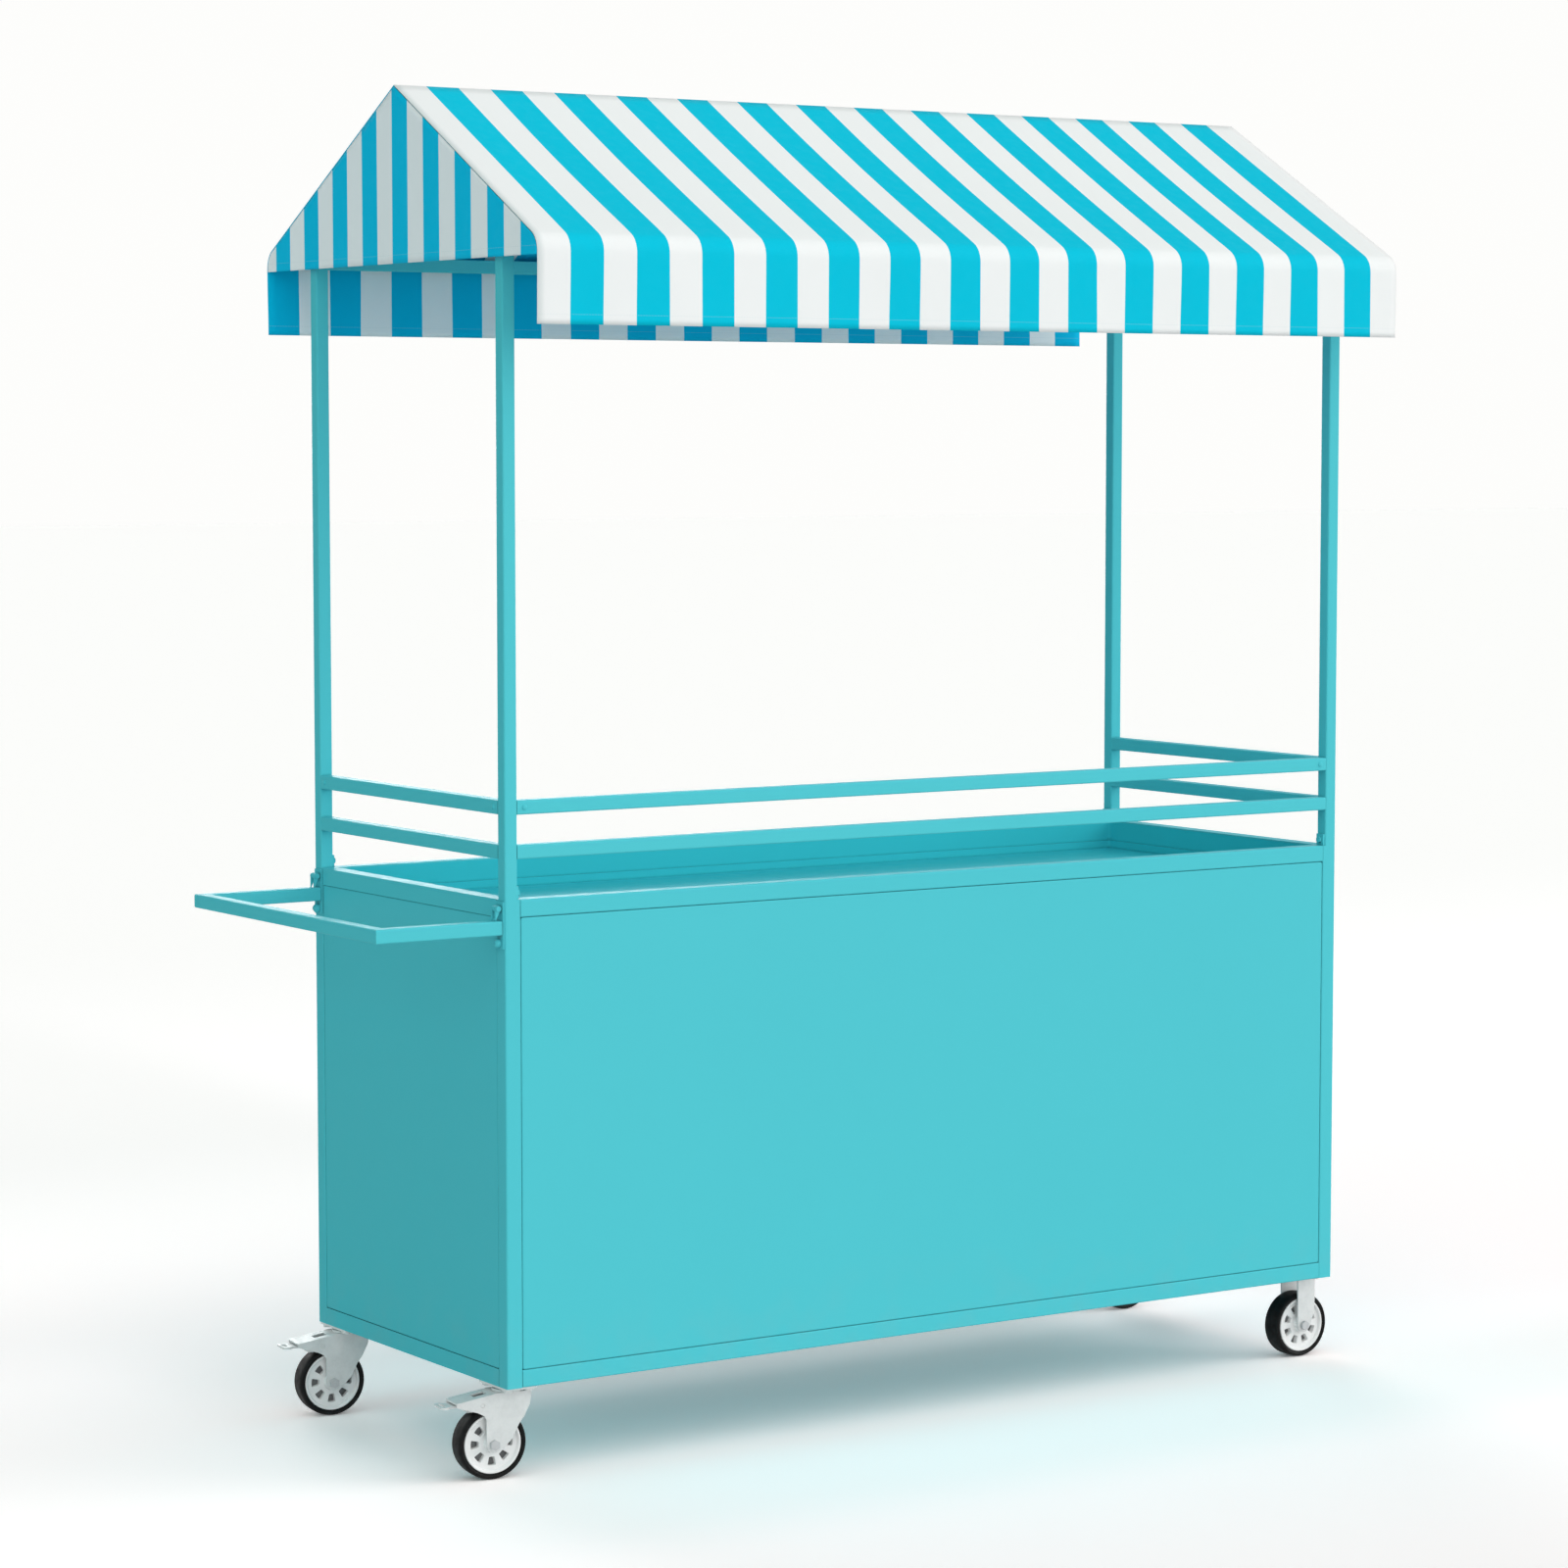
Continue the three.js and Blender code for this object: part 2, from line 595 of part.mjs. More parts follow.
// One leaf of a butt hinge. The outer leaf holds the first and last knuckles and the pin,
// and the door's leaf holds the middle knuckle, bored to turn on the pin.
function hingeLeaf(side, z, onDoor) {
  const out = onDoor ? -side : side;
  const axis = side * hingeX;
  const near = axis + out * (DOOR_KNUCKLE_RADIUS + KNUCKLE_GAP);
  const far = near + out * DOOR_LEAF_WIDTH;
  const thick = [halfDepth - WELD_DEPTH, halfDepth + DOOR_LEAF_SHEET];
  const half = DOOR_HINGE_LENGTH / 2;
  const pieces = [span(ordered(near, far), thick, [z - half, z + half])];
  for (let index = 0; index < KNUCKLE_COUNT; index += 1) {
    if ((index % 2 === 1) === onDoor) {
      const level = knuckleSpan(z, index);
      pieces.push(span(ordered(axis, near + out * KNUCKLE_GAP), thick, level));
      pieces.push(cylinderZ(DOOR_KNUCKLE_RADIUS, level, axis, hingeY, SMALL_SIDES));
    }
  }
  const pin = (radius, overrun) =>
    cylinderZ(radius, [z - half - overrun, z + half + overrun], axis, hingeY, SMALL_SIDES);
  if (onDoor) return cut(join(...pieces), pin(DOOR_PIN_RADIUS + DOOR_PIN_CLEARANCE, CUT_OVERRUN));
  return join(...pieces, pin(DOOR_PIN_RADIUS, KNUCKLE_GAP));
}

// A round bar swept along a flat path of [out, up] points, with mitred bends
function bar(points, radius, sides) {
  const path = points.map(([x, y]) => new THREE.Vector2(x, y));
  const heading = (i) => path[i + 1].clone().sub(path[i]).normalize();
  const rings = path.map((point, i) => {
    const before = heading(Math.max(i - 1, 0));
    const after = heading(Math.min(i, path.length - 2));
    const along = before.clone().add(after).normalize();
    const across = new THREE.Vector2(-along.y, along.x).divideScalar(along.dot(before));
    return Array.from({ length: sides }, (unused, k) => {
      const angle = (k / sides) * Math.PI * 2;
      const offset = across.clone().multiplyScalar(Math.cos(angle) * radius);
      return new THREE.Vector3(point.x + offset.x, point.y + offset.y, Math.sin(angle) * radius);
    });
  });
  return skin(rings.reverse());
}

// A bow pull that stands on the door's face, near the edge where the doors meet
function doorPull(side) {
  const [half, reach] = [PULL_LENGTH / 2, PULL_REACH - PULL_RADIUS];
  const bend = Array.from({ length: BEND_POINTS }, (unused, i) => {
    const angle = (i / (BEND_POINTS - 1)) * Math.PI / 2;
    return [reach - PULL_BEND * (1 - Math.sin(angle)), PULL_BEND * (1 - Math.cos(angle)) - half];
  });
  const upper = bend.map(([out, up]) => [out, -up]).reverse();
  const path = [[0, -half], ...bend, ...upper, [0, half]];
  const middle = (doorTop + doorBottom) / 2;
  return bar(path, PULL_RADIUS, SMALL_SIDES).rotateX(Math.PI / 2).rotateZ(Math.PI / 2)
    .translate(side * (DOOR_GAP / 2 + PULL_INSET), halfDepth, middle);
}

function addDoors(cart) {
  for (const [name, side] of [['left', -1], ['right', 1]]) {
    add(cart, `${name}_door`, door(side), PAINT);
    add(cart, `${name}_door_pull`, doorPull(side), ZINC);
  }
}

// Posts and guard rails

// A canopy post, from the cap of its corner post up to the canopy's end rail
function upperPost(sx, sy) {
  return tubeZ([COUNTER_HEIGHT, eaveBottom], sx * postX, sy * postY, POST_TUBE, POST_WALL);
}

// A rail between the posts of one end, with or without its screws near the posts
function endGuardRail(side, z, screwed) {
  const reach = halfDepth - POST_TUBE;
  const rail = tubeY([-reach, reach], side * postX, z, POST_TUBE, POST_WALL);
  if (!screwed) return rail;
  const screws = SIDES.map((sy) => screwHead().rotateZ(-side * Math.PI / 2)
    .translate(side * (halfLength - WELD_DEPTH), sy * (reach - GUARD_SCREW_INSET), z));
  return join(rail, ...screws);
}

function frontGuardRail(z, screwed) {
  const reach = halfLength - POST_TUBE;
  const rail = tubeX([-reach, reach], -postY, z, POST_TUBE, POST_WALL);
  if (!screwed) return rail;
  const screws = SIDES.map((side) => screwHead().rotateX(Math.PI)
    .translate(side * (reach - GUARD_SCREW_INSET), WELD_DEPTH - halfDepth, z));
  return join(rail, ...screws);
}

function addPosts(cart) {
  for (const [end, sx] of [['left', -1], ['right', 1]]) {
    add(cart, `front_${end}_post`, upperPost(sx, -1), PAINT);
    add(cart, `back_${end}_post`, upperPost(sx, 1), PAINT);
    add(cart, `${end}_lower_guard_rail`, endGuardRail(sx, lowerGuard, false), PAINT);
    add(cart, `${end}_upper_guard_rail`, endGuardRail(sx, upperGuard, true), PAINT);
  }
  add(cart, 'front_lower_guard_rail', frontGuardRail(lowerGuard, false), PAINT);
  add(cart, 'front_upper_guard_rail', frontGuardRail(upperGuard, true), PAINT);
}

// Canopy

// One half of the cloth's section, from a height up to the ridge, set in by inset
function clothHalf(inset, bottom) {
  const radius = BEND_RADIUS - inset;
  const start = bottom > bendZ ? Math.asin((bottom - bendZ) / radius) : 0;
  const points = bottom < bendZ ? [[halfSpan - inset, bottom]] : [];
  for (let i = 0; i <= BEND_STEPS; i += 1) {
    const angle = start + (bendTurn - start) * (i / BEND_STEPS);
    points.push([bendY + radius * Math.cos(angle), bendZ + radius * Math.sin(angle)]);
  }
  points.push([0, RIDGE_HEIGHT - inset / Math.cos(slopeAngle)]);
  return points;
}

// The whole section from the back hem over the ridge to the front hem
function clothSection(inset, bottom) {
  const back = clothHalf(inset, bottom);
  const front = back.slice(0, -1).map(([y, z]) => [-y, z]).reverse();
  return [...back, ...front];
}

function roofCover() {
  const section = [...clothSection(0, hemZ), ...clothSection(CLOTH, hemZ).reverse()];
  return plateYZ(polygon(section), roofHalfLength * 2);
}

function gable(side) {
  const section = clothSection(clothInside, gableHemZ);
  return plateYZ(polygon(section), CLOTH).translate(side * (roofHalfLength - CLOTH / 2), 0, 0);
}

// Heights of a rafter's upper face and of its lower face at a distance from the ridge
const rafterTop = (y) => RIDGE_HEIGHT - clothInside / Math.cos(slopeAngle) - slope * y;
const rafterBottom = (y) => rafterTop(y) - POST_TUBE / Math.cos(slopeAngle);
const rafterWallRise = POST_WALL / Math.cos(slopeAngle);

// A sloping tube, cut plumb against the ridge rail and welded down along the end rail's top,
// whose foot reaches out over the eave rail
function rafter(sy) {
  const [head, foot] = [POST_TUBE / 2, bendY + BEND_RADIUS * Math.sin(slopeAngle)];
  const weld = eaveTop - WELD_DEPTH;
  const outline = [
    [head, rafterTop(head)], [head, rafterBottom(head)],
    [(rafterBottom(0) - weld) / slope, weld], [eaveInner - WELD_DEPTH, weld],
    [eaveInner - WELD_DEPTH, eaveTop], [foot, eaveTop], [foot, rafterTop(foot)],
  ];
  const [near, far] = [head - CUT_OVERRUN, foot + CUT_OVERRUN];
  const bore = [
    [near, rafterTop(near) - rafterWallRise], [near, rafterBottom(near) + rafterWallRise],
    [far, rafterBottom(far) + rafterWallRise], [far, rafterTop(far) - rafterWallRise],
  ];
  const mirror = ([y, z]) => [sy * y, z];
  const body = plateYZ(polygon(outline.map(mirror)), POST_TUBE);
  return cut(body, plateYZ(polygon(bore.map(mirror)), POST_TUBE - POST_WALL * 2));
}

// The welded triangle over one pair of posts: an end rail and two rafters
function canopyTruss() {
  const rail = tubeY([-eaveInner, eaveInner], 0, eaveTop - POST_TUBE / 2, POST_TUBE, POST_WALL);
  return join(rail, ...SIDES.map(rafter));
}

function addCanopy(cart) {
  const run = [-railHalfLength, railHalfLength];
  const railZ = eaveTop - POST_TUBE / 2;
  const railY = eaveOuter - POST_TUBE / 2;
  const ridgeZ = rafterTop(POST_TUBE / 2) - POST_TUBE / 2;
  add(cart, 'left_canopy_truss', canopyTruss().translate(-postX, 0, 0), PAINT);
  add(cart, 'right_canopy_truss', canopyTruss().translate(postX, 0, 0), PAINT);
  add(cart, 'front_eave_rail', tubeX(run, -railY, railZ, POST_TUBE, POST_WALL), PAINT);
  add(cart, 'back_eave_rail', tubeX(run, railY, railZ, POST_TUBE, POST_WALL), PAINT);
  add(cart, 'ridge_rail', tubeX(run, 0, ridgeZ, POST_TUBE, POST_WALL), PAINT);
  add(cart, 'roof_cover', roofCover(), CLOTH_BLUE);
  add(cart, 'left_gable', gable(-1), CLOTH_BLUE);
  add(cart, 'right_gable', gable(1), CLOTH_BLUE);
}

// Push handle

const armTop = COUNTER_HEIGHT - HANDLE_DROP;
const armZ = armTop - HANDLE_TUBE / 2;
const armY = halfDepth - HANDLE_INSET - HANDLE_TUBE / 2;
const bracketFace = halfLength + BRACKET_SHEET;
const pivotX = -(bracketFace + HINGE_CLEARANCE + HINGE_RADIUS);
const pivotZ = armTop + PIVOT_RISE;
const stopZ = armTop - HANDLE_TUBE - STOP_GAP - STOP_RADIUS;

// The grip and the arms are mitred where they meet
function handleGrip() {
  const length = armY * 2;
  return tube(length, HANDLE_TUBE, HANDLE_WALL, 1, -1).rotateX(-Math.PI / 2)
    .translate(HANDLE_TUBE / 2 - halfLength - HANDLE_REACH, -armY, armZ);
}

// An arm with the two cheeks of the hinge's moving half welded on
function handleArm(side) {
  const end = -(bracketFace + HANDLE_END_GAP);
  const corner = HANDLE_TUBE / 2 - halfLength - HANDLE_REACH;
  const bar = tube(end - corner, HANDLE_TUBE, HANDLE_WALL, -side, 0)
    .rotateZ(Math.PI / 2).rotateY(Math.PI / 2).translate(corner, side * armY, armZ);
  return join(bar, ...SIDES.map((place) => hingeCheek(side, place)));
}

// The fixed half of a handle hinge: a plate on the post with a round-nosed lug that holds
// the pin, and below it the peg that carries an overloaded handle
function hingeBracket(side) {
  const top = COUNTER_HEIGHT - BRACKET_MARGIN;
  const bottom = stopZ - STOP_RADIUS - BRACKET_MARGIN;
  const back = plateYZ(
    roundedRect(BRACKET_WIDTH, top - bottom, BRACKET_MARGIN, 0, (top + bottom) / 2), BRACKET_SHEET,
  ).translate(-halfLength - BRACKET_SHEET / 2, 0, 0);
  const nose = new THREE.Shape();
  nose.moveTo(-halfLength - BRACKET_SHEET / 2, pivotZ + HINGE_RADIUS);
  nose.lineTo(pivotX, pivotZ + HINGE_RADIUS);
  nose.absarc(pivotX, pivotZ, HINGE_RADIUS, Math.PI / 2, Math.PI * 1.5);
  nose.lineTo(-halfLength - BRACKET_SHEET / 2, pivotZ - HINGE_RADIUS);
  nose.closePath();
  const lug = plateXZ(nose, HINGE_LUG_WIDTH, BEND_POINTS);
  return join(back, lug, hingePin(), stopPeg()).translate(0, side * armY, 0);
}

// One cheek of the moving half, welded on the arm and bored for the pin
function hingeCheek(side, place) {
  const shape = new THREE.Shape();
  shape.moveTo(pivotX + HINGE_RADIUS, armTop - WELD_DEPTH);
  shape.absarc(pivotX, pivotZ, HINGE_RADIUS, 0, Math.PI);
  shape.lineTo(pivotX - HINGE_RADIUS, armTop - WELD_DEPTH);
  shape.closePath();
  const offset = (HINGE_LUG_WIDTH + HINGE_CHEEK) / 2 + HINGE_SIDE_GAP;
  const reach = HINGE_CHEEK + CUT_OVERRUN;
  const bore = cylinderY(HINGE_PIN_RADIUS + PIN_CLEARANCE, [-reach, reach], pivotX, pivotZ);
  return cut(plateXZ(shape, HINGE_CHEEK, BEND_POINTS), bore)
    .translate(0, side * armY + place * offset, 0);
}

// A pin with a round head at each end, across the cheeks
function hingePin() {
  const face = HINGE_LUG_WIDTH / 2 + HINGE_SIDE_GAP + HINGE_CHEEK + PIN_CLEARANCE;
  const tip = face + HINGE_PIN_HEAD;
  const profile = [[0, -tip], [HINGE_PIN_HEAD_RADIUS, -tip], [HINGE_PIN_HEAD_RADIUS, -face],
    [HINGE_PIN_RADIUS, -face], [HINGE_PIN_RADIUS, face], [HINGE_PIN_HEAD_RADIUS, face],
    [HINGE_PIN_HEAD_RADIUS, tip], [0, tip]];
  return turned(profile, ROUND_SIDES).translate(pivotX, 0, pivotZ);
}

// A peg along -X with a chamfered end
function stopPeg() {
  const shoulder = STOP_REACH - STOP_RADIUS / 2;
  const profile = [[0, -WELD_DEPTH], [STOP_RADIUS, -WELD_DEPTH], [STOP_RADIUS, shoulder],
    [STOP_RADIUS / 2, STOP_REACH], [0, STOP_REACH]];
  return turned(profile, ROUND_SIDES).rotateZ(Math.PI / 2).translate(-bracketFace, 0, stopZ);
}

function addHandle(cart) {
  add(cart, 'handle_grip', handleGrip(), PAINT);
  for (const [name, side] of [['front', -1], ['back', 1]]) {
    add(cart, `${name}_handle_arm`, handleArm(side), PAINT);
    add(cart, `${name}_handle_bracket`, hingeBracket(side), PAINT);
  }
}

// Casters, drawn with the wheel's axle along Y

function tyre(x) {
  const [face, side, tread] = [TYRE_FACE_WIDTH / 2, TYRE_WIDTH / 2, TYRE_TREAD_WIDTH / 2];
  const inside = RIM_RADIUS + SEAT_GAP * 2;
  const half = [[inside, face], [WHEEL_RADIUS - TYRE_SIDE_DROP, side], [WHEEL_RADIUS, tread]];
  const rest = half.map(([r, y]) => [r, -y]).reverse();
  return turned([...half, ...rest, half[0]].reverse(), WHEEL_SIDES).translate(x, 0, WHEEL_RADIUS);
}

// The wheel body: a hub and a rim joined by a thick web, with a ring of tapered pockets
// in each face. A phase of 0 puts one pocket straight under the axle.
function rim(x, phase) {
  const [hub, web, lip] = [HUB_WIDTH / 2, WEB_WIDTH / 2, RIM_WIDTH / 2];
  const bore = AXLE_RADIUS + PIN_CLEARANCE;
  const lipFoot = RIM_RADIUS - RIM_LIP;
  const half = [[bore, hub], [HUB_RADIUS, hub], [HUB_RADIUS + HUB_SLOPE, web],
    [lipFoot, web], [RIM_RADIUS, lip]];
  const rest = half.map(([r, y]) => [r, -y]).reverse();
  const body = turned([...half, ...rest, half[0]].reverse(), WHEEL_SIDES);
  const [near, far] = [WINDOW_RADIUS - WINDOW_DEPTH / 2, WINDOW_RADIUS + WINDOW_DEPTH / 2];
  const [narrow, wide] = [WINDOW_NARROW / 2, WINDOW_WIDE / 2];
  const outline = polygon([[near, -narrow], [far, -wide], [far, wide], [near, narrow]]);
  const depth = (RIM_WIDTH - WEB_CORE) / 2;
  const windows = Array.from({ length: WINDOW_COUNT * SIDES.length }, (unused, i) =>
    plateXZ(outline, depth).translate(0, SIDES[i % 2] * (WEB_CORE + depth) / 2, 0)
      .rotateY((i / WINDOW_COUNT) * Math.PI + phase));
  return cut(body, ...windows).translate(x, 0, WHEEL_RADIUS);
}

// A bolt through the legs and the hub, with a hexagon head and nut outside the legs
function axle(x) {
  const face = FORK_INSIDE / 2 + FORK_SHEET + SEAT_GAP;
  const tip = face + AXLE_HEAD;
  return join(
    cylinderY(AXLE_RADIUS, [-tip, tip], x, WHEEL_RADIUS),
    cylinderY(AXLE_HEAD_RADIUS, [-tip, -face], x, WHEEL_RADIUS, HEX_SIDES),
    cylinderY(AXLE_HEAD_RADIUS, [face, tip], x, WHEEL_RADIUS, HEX_SIDES),
  );
}

function axleBore(x) {
  const reach = FORK_INSIDE / 2 + FORK_SHEET + CUT_OVERRUN;
  return cylinderY(AXLE_RADIUS + PIN_CLEARANCE, [-reach, reach], x, WHEEL_RADIUS);
}

// A caster's mounting plate with the four bolt heads under it
function mountingPlate(inset) {
  const top = CASTER_HEIGHT - PLATE_SHEET;
  const flat = plate(roundedRect(inset * 2, PLATE_LENGTH, PAN_CORNER_ROUND), PLATE_SHEET)
    .translate(0, 0, CASTER_HEIGHT - PLATE_SHEET / 2);
  const heads = SIDES.flatMap((sx) => SIDES.map((sy) => cylinderZ(BOLT_RADIUS,
    [top - BOLT_HEAD, top + WELD_DEPTH], sx * (inset - BOLT_EDGE), sy * BOLT_SPACING_Y / 2,
    HEX_SIDES)));
  return join(flat, ...heads);
}

const forkTop = CASTER_HEIGHT - PLATE_SHEET - DOME_HEIGHT - SEAT_GAP - RACE_HEIGHT;
const cheekOffset = (FORK_INSIDE + FORK_SHEET) / 2;
const swivelX = -(halfLength - SWIVEL_INSET_X);
const swivelY = halfDepth - SWIVEL_INSET_Y;
const rigidX = halfLength - RIGID_INSET_X;
const rigidY = halfDepth - RIGID_INSET_Y;
const pedalTop = forkTop - FORK_SHEET - PEDAL_DROP;
const legArcEnd = THREE.MathUtils.degToRad(LEG_ARC_END);
// Upper edge of a swivel fork behind the race: level to the race's edge, then down to the tip
const wingTop = [[-RACE_RADIUS, forkTop], [-WING_REACH, forkTop - WING_DROP]];

// The mounting plate with its domed race and the riveted kingpin, centred on the kingpin
function swivelPlate() {
  const under = CASTER_HEIGHT - PLATE_SHEET;
  const [rivetTop, rivetFoot] = [forkTop - FORK_SHEET - SEAT_GAP,
    forkTop - FORK_SHEET - SEAT_GAP - KINGPIN_HEAD];
  const profile = [[0, rivetFoot], [KINGPIN_HEAD_RADIUS, rivetFoot],
    [KINGPIN_HEAD_RADIUS, rivetTop], [KINGPIN_RADIUS, rivetTop],
    [KINGPIN_RADIUS, under - DOME_HEIGHT], [DOME_RADIUS - DOME_HEIGHT / 2, under - DOME_HEIGHT],
    [DOME_RADIUS, under + PLATE_SHEET / 2], [0, under + PLATE_SHEET / 2]];
  return join(mountingPlate(SWIVEL_INSET_X), turned(profile, ROUND_SIDES).rotateX(Math.PI / 2));
}

// One cheek of the pressed fork: a leg round the axle, with a long wing behind it
function cheekShape() {
  const rise = forkTop - WHEEL_RADIUS;
  const front = CHEEK_FRONT_SHARES.map(([x, z]) =>
    [x * (FORK_NOSE + TRAIL) - TRAIL, WHEEL_RADIUS + z * rise]);
  const wing = CHEEK_WING_SHARES.map(([x, z]) =>
    [-TRAIL - x * (WING_REACH - TRAIL), WHEEL_RADIUS + z * rise]);
  const shape = new THREE.Shape();
  shape.absarc(-TRAIL, WHEEL_RADIUS, LEG_ROUND, Math.PI, legArcEnd);
  for (const [x, z] of [...front, ...wingTop, ...wing]) shape.lineTo(x, z);
  shape.lineTo(-TRAIL - LEG_ROUND, wing[wing.length - 1][1] - LEG_ROUND / 2);
  shape.closePath();
  return shape;
}

function fork() {
  const cheeks = SIDES.map((side) =>
    plateXZ(cheekShape(), FORK_SHEET, BEND_POINTS).translate(0, side * cheekOffset, 0));
  const width = FORK_INSIDE / 2 + FORK_SHEET;
  const edge = [[FORK_NOSE, forkTop], ...wingTop];
  const under = edge.map(([x, z]) => [x, z - FORK_SHEET]).reverse();
  const roof = plateXZ(polygon([...edge, ...under]), width * 2);
  const race = cylinderZ(RACE_RADIUS, [forkTop - FORK_SHEET, forkTop + RACE_HEIGHT], 0, 0);
  const tools = [forkTop - FORK_SHEET - CUT_OVERRUN, forkTop + RACE_HEIGHT + CUT_OVERRUN];
  const slotWidth = WING_SLOT_WIDTH / 2;
  const reach = width + CUT_OVERRUN;
  const pinBore = cylinderY(PEDAL_PIN_RADIUS + PIN_CLEARANCE, [-reach, reach],
    -PEDAL_PIVOT_X, pedalTop - PEDAL_SHEET / 2, SMALL_SIDES);
  return cut(
    join(...cheeks, roof, race),
    cylinderZ(KINGPIN_RADIUS + PIN_CLEARANCE, tools, 0, 0),
    span([-WING_SLOT_FAR, -WING_SLOT_NEAR], [-slotWidth, slotWidth], tools),
    axleBore(-TRAIL),
    pinBore,
  );
}

// The brake pedal turns on a pin through the cheeks and carries the shoe over the tyre
function pedal() {
  const z = pedalTop - PEDAL_SHEET / 2;
  const padNear = PEDAL_REACH - PEDAL_PAD;
  const pad = roundedRect(PEDAL_PAD, PEDAL_WIDTH, PEDAL_ROUND, -PEDAL_REACH + PEDAL_PAD / 2, 0);
  pad.holes.push(roundedRect(PEDAL_SLOT, PEDAL_SLOT_WIDTH, PEDAL_SLOT_ROUND,
    -PEDAL_REACH + PEDAL_PAD / 2, 0));
  const stem = PEDAL_STEM_WIDTH / 2;
  const reach = FORK_INSIDE / 2 + FORK_SHEET;
  const shoe = SHOE_WIDTH / 2;
  return join(
    plate(pad, PEDAL_SHEET, BEND_POINTS).translate(0, 0, z),
    span([-padNear - PEDAL_ROUND / 2, -PEDAL_PIVOT_X], [-stem, stem],
      [pedalTop - PEDAL_SHEET, pedalTop]),
    span([-SHOE_FAR, -SHOE_NEAR], [-shoe, shoe], [pedalTop - SHOE_DEPTH, pedalTop]),
    cylinderY(PEDAL_HUB_RADIUS, [-stem, stem], -PEDAL_PIVOT_X, z, SMALL_SIDES),
    cylinderY(PEDAL_PIN_RADIUS, [-reach, reach], -PEDAL_PIVOT_X, z, SMALL_SIDES),
  );
}

function addSwivelCaster(cart, name, side) {
  const fixed = new THREE.Group();
  fixed.position.set(swivelX, side * swivelY, 0);
  add(fixed, `${name}_caster_plate`, swivelPlate(), ZINC);
  const turning = new THREE.Group();
  turning.rotation.z = THREE.MathUtils.degToRad(CASTER_TURN);
  add(turning, `${name}_fork`, fork(), ZINC);
  add(turning, `${name}_axle`, axle(-TRAIL), ZINC);
  add(turning, `${name}_rim`, rim(-TRAIL, 0), WHITE_PLASTIC);
  add(turning, `${name}_tyre`, tyre(-TRAIL), RUBBER);
  add(turning, `${name}_brake_pedal`, pedal(), ZINC);
  fixed.add(turning);
  cart.add(fixed);
}

// A rigid bracket: a plate with two straight legs that taper to the axle
function rigidBracket() {
  const under = CASTER_HEIGHT - PLATE_SHEET;
  const rise = under + PLATE_SHEET / 2 - WHEEL_RADIUS;
  const shape = new THREE.Shape();
  shape.absarc(0, WHEEL_RADIUS, LEG_ROUND, Math.PI, legArcEnd);
  for (const [x, z] of RIGID_LEG_SHARES) {
    shape.lineTo(x * RIGID_LEG_FRONT, WHEEL_RADIUS + z * rise);
  }
  shape.lineTo(-RIGID_LEG_BACK, WHEEL_RADIUS + rise);
  shape.closePath();
  const legs = SIDES.map((side) =>
    plateXZ(shape, FORK_SHEET, BEND_POINTS).translate(0, side * cheekOffset, 0));
  return cut(join(mountingPlate(RIGID_INSET_X), ...legs), axleBore(0));
}

function addRigidCaster(cart, name, side) {
  const caster = new THREE.Group();
  caster.position.set(rigidX, side * rigidY, 0);
  add(caster, `${name}_bracket`, rigidBracket(), ZINC);
  add(caster, `${name}_axle`, axle(0), ZINC);
  add(caster, `${name}_rim`, rim(0, Math.PI / WINDOW_COUNT), WHITE_PLASTIC);
  add(caster, `${name}_tyre`, tyre(0), RUBBER);
  cart.add(caster);
}

function addCasters(cart) {
  addSwivelCaster(cart, 'front_left', -1);
  addSwivelCaster(cart, 'back_left', 1);
  addRigidCaster(cart, 'front_right', -1);
  addRigidCaster(cart, 'back_right', 1);
}

function buildCart() {
  const cart = new THREE.Group();
  addFrame(cart);
  addPanels(cart);
  add(cart, 'cabinet_floor', cabinetFloor(), PAINT);
  add(cart, 'shelf', shelf(), PAINT);
  add(cart, 'counter_tray', counterTray(), PAINT);
  addDoors(cart);
  addPosts(cart);
  addCanopy(cart);
  addHandle(cart);
  addCasters(cart);
  const left = halfLength + HANDLE_REACH;
  const right = Math.max(roofHalfLength, rigidX + WHEEL_RADIUS);
  cart.position.x = (left - right) / 2;
  return cart;
}

export default buildCart();
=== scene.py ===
"""Street vendor cart: looks, soft canopy, smooth wheels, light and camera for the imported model."""
import math

import bpy
from mathutils import Matrix, Vector


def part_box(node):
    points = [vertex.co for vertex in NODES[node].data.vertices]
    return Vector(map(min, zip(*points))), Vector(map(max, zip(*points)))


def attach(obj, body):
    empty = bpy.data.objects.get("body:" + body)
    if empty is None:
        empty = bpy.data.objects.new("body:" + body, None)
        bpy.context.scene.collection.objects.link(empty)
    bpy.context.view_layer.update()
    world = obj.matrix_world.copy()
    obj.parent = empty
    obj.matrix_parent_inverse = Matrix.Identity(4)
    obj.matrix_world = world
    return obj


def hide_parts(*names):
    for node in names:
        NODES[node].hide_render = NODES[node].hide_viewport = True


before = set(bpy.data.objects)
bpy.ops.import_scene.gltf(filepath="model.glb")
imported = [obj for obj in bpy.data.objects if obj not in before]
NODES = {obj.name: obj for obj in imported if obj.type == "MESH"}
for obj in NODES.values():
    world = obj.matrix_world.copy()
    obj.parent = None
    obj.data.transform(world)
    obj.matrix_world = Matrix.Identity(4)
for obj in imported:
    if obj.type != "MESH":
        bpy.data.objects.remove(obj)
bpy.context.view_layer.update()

# Lengths are in metres, in the row frame. The middle of the cabinet and canopy is at x = SHIFT.
SHIFT = 0.0855

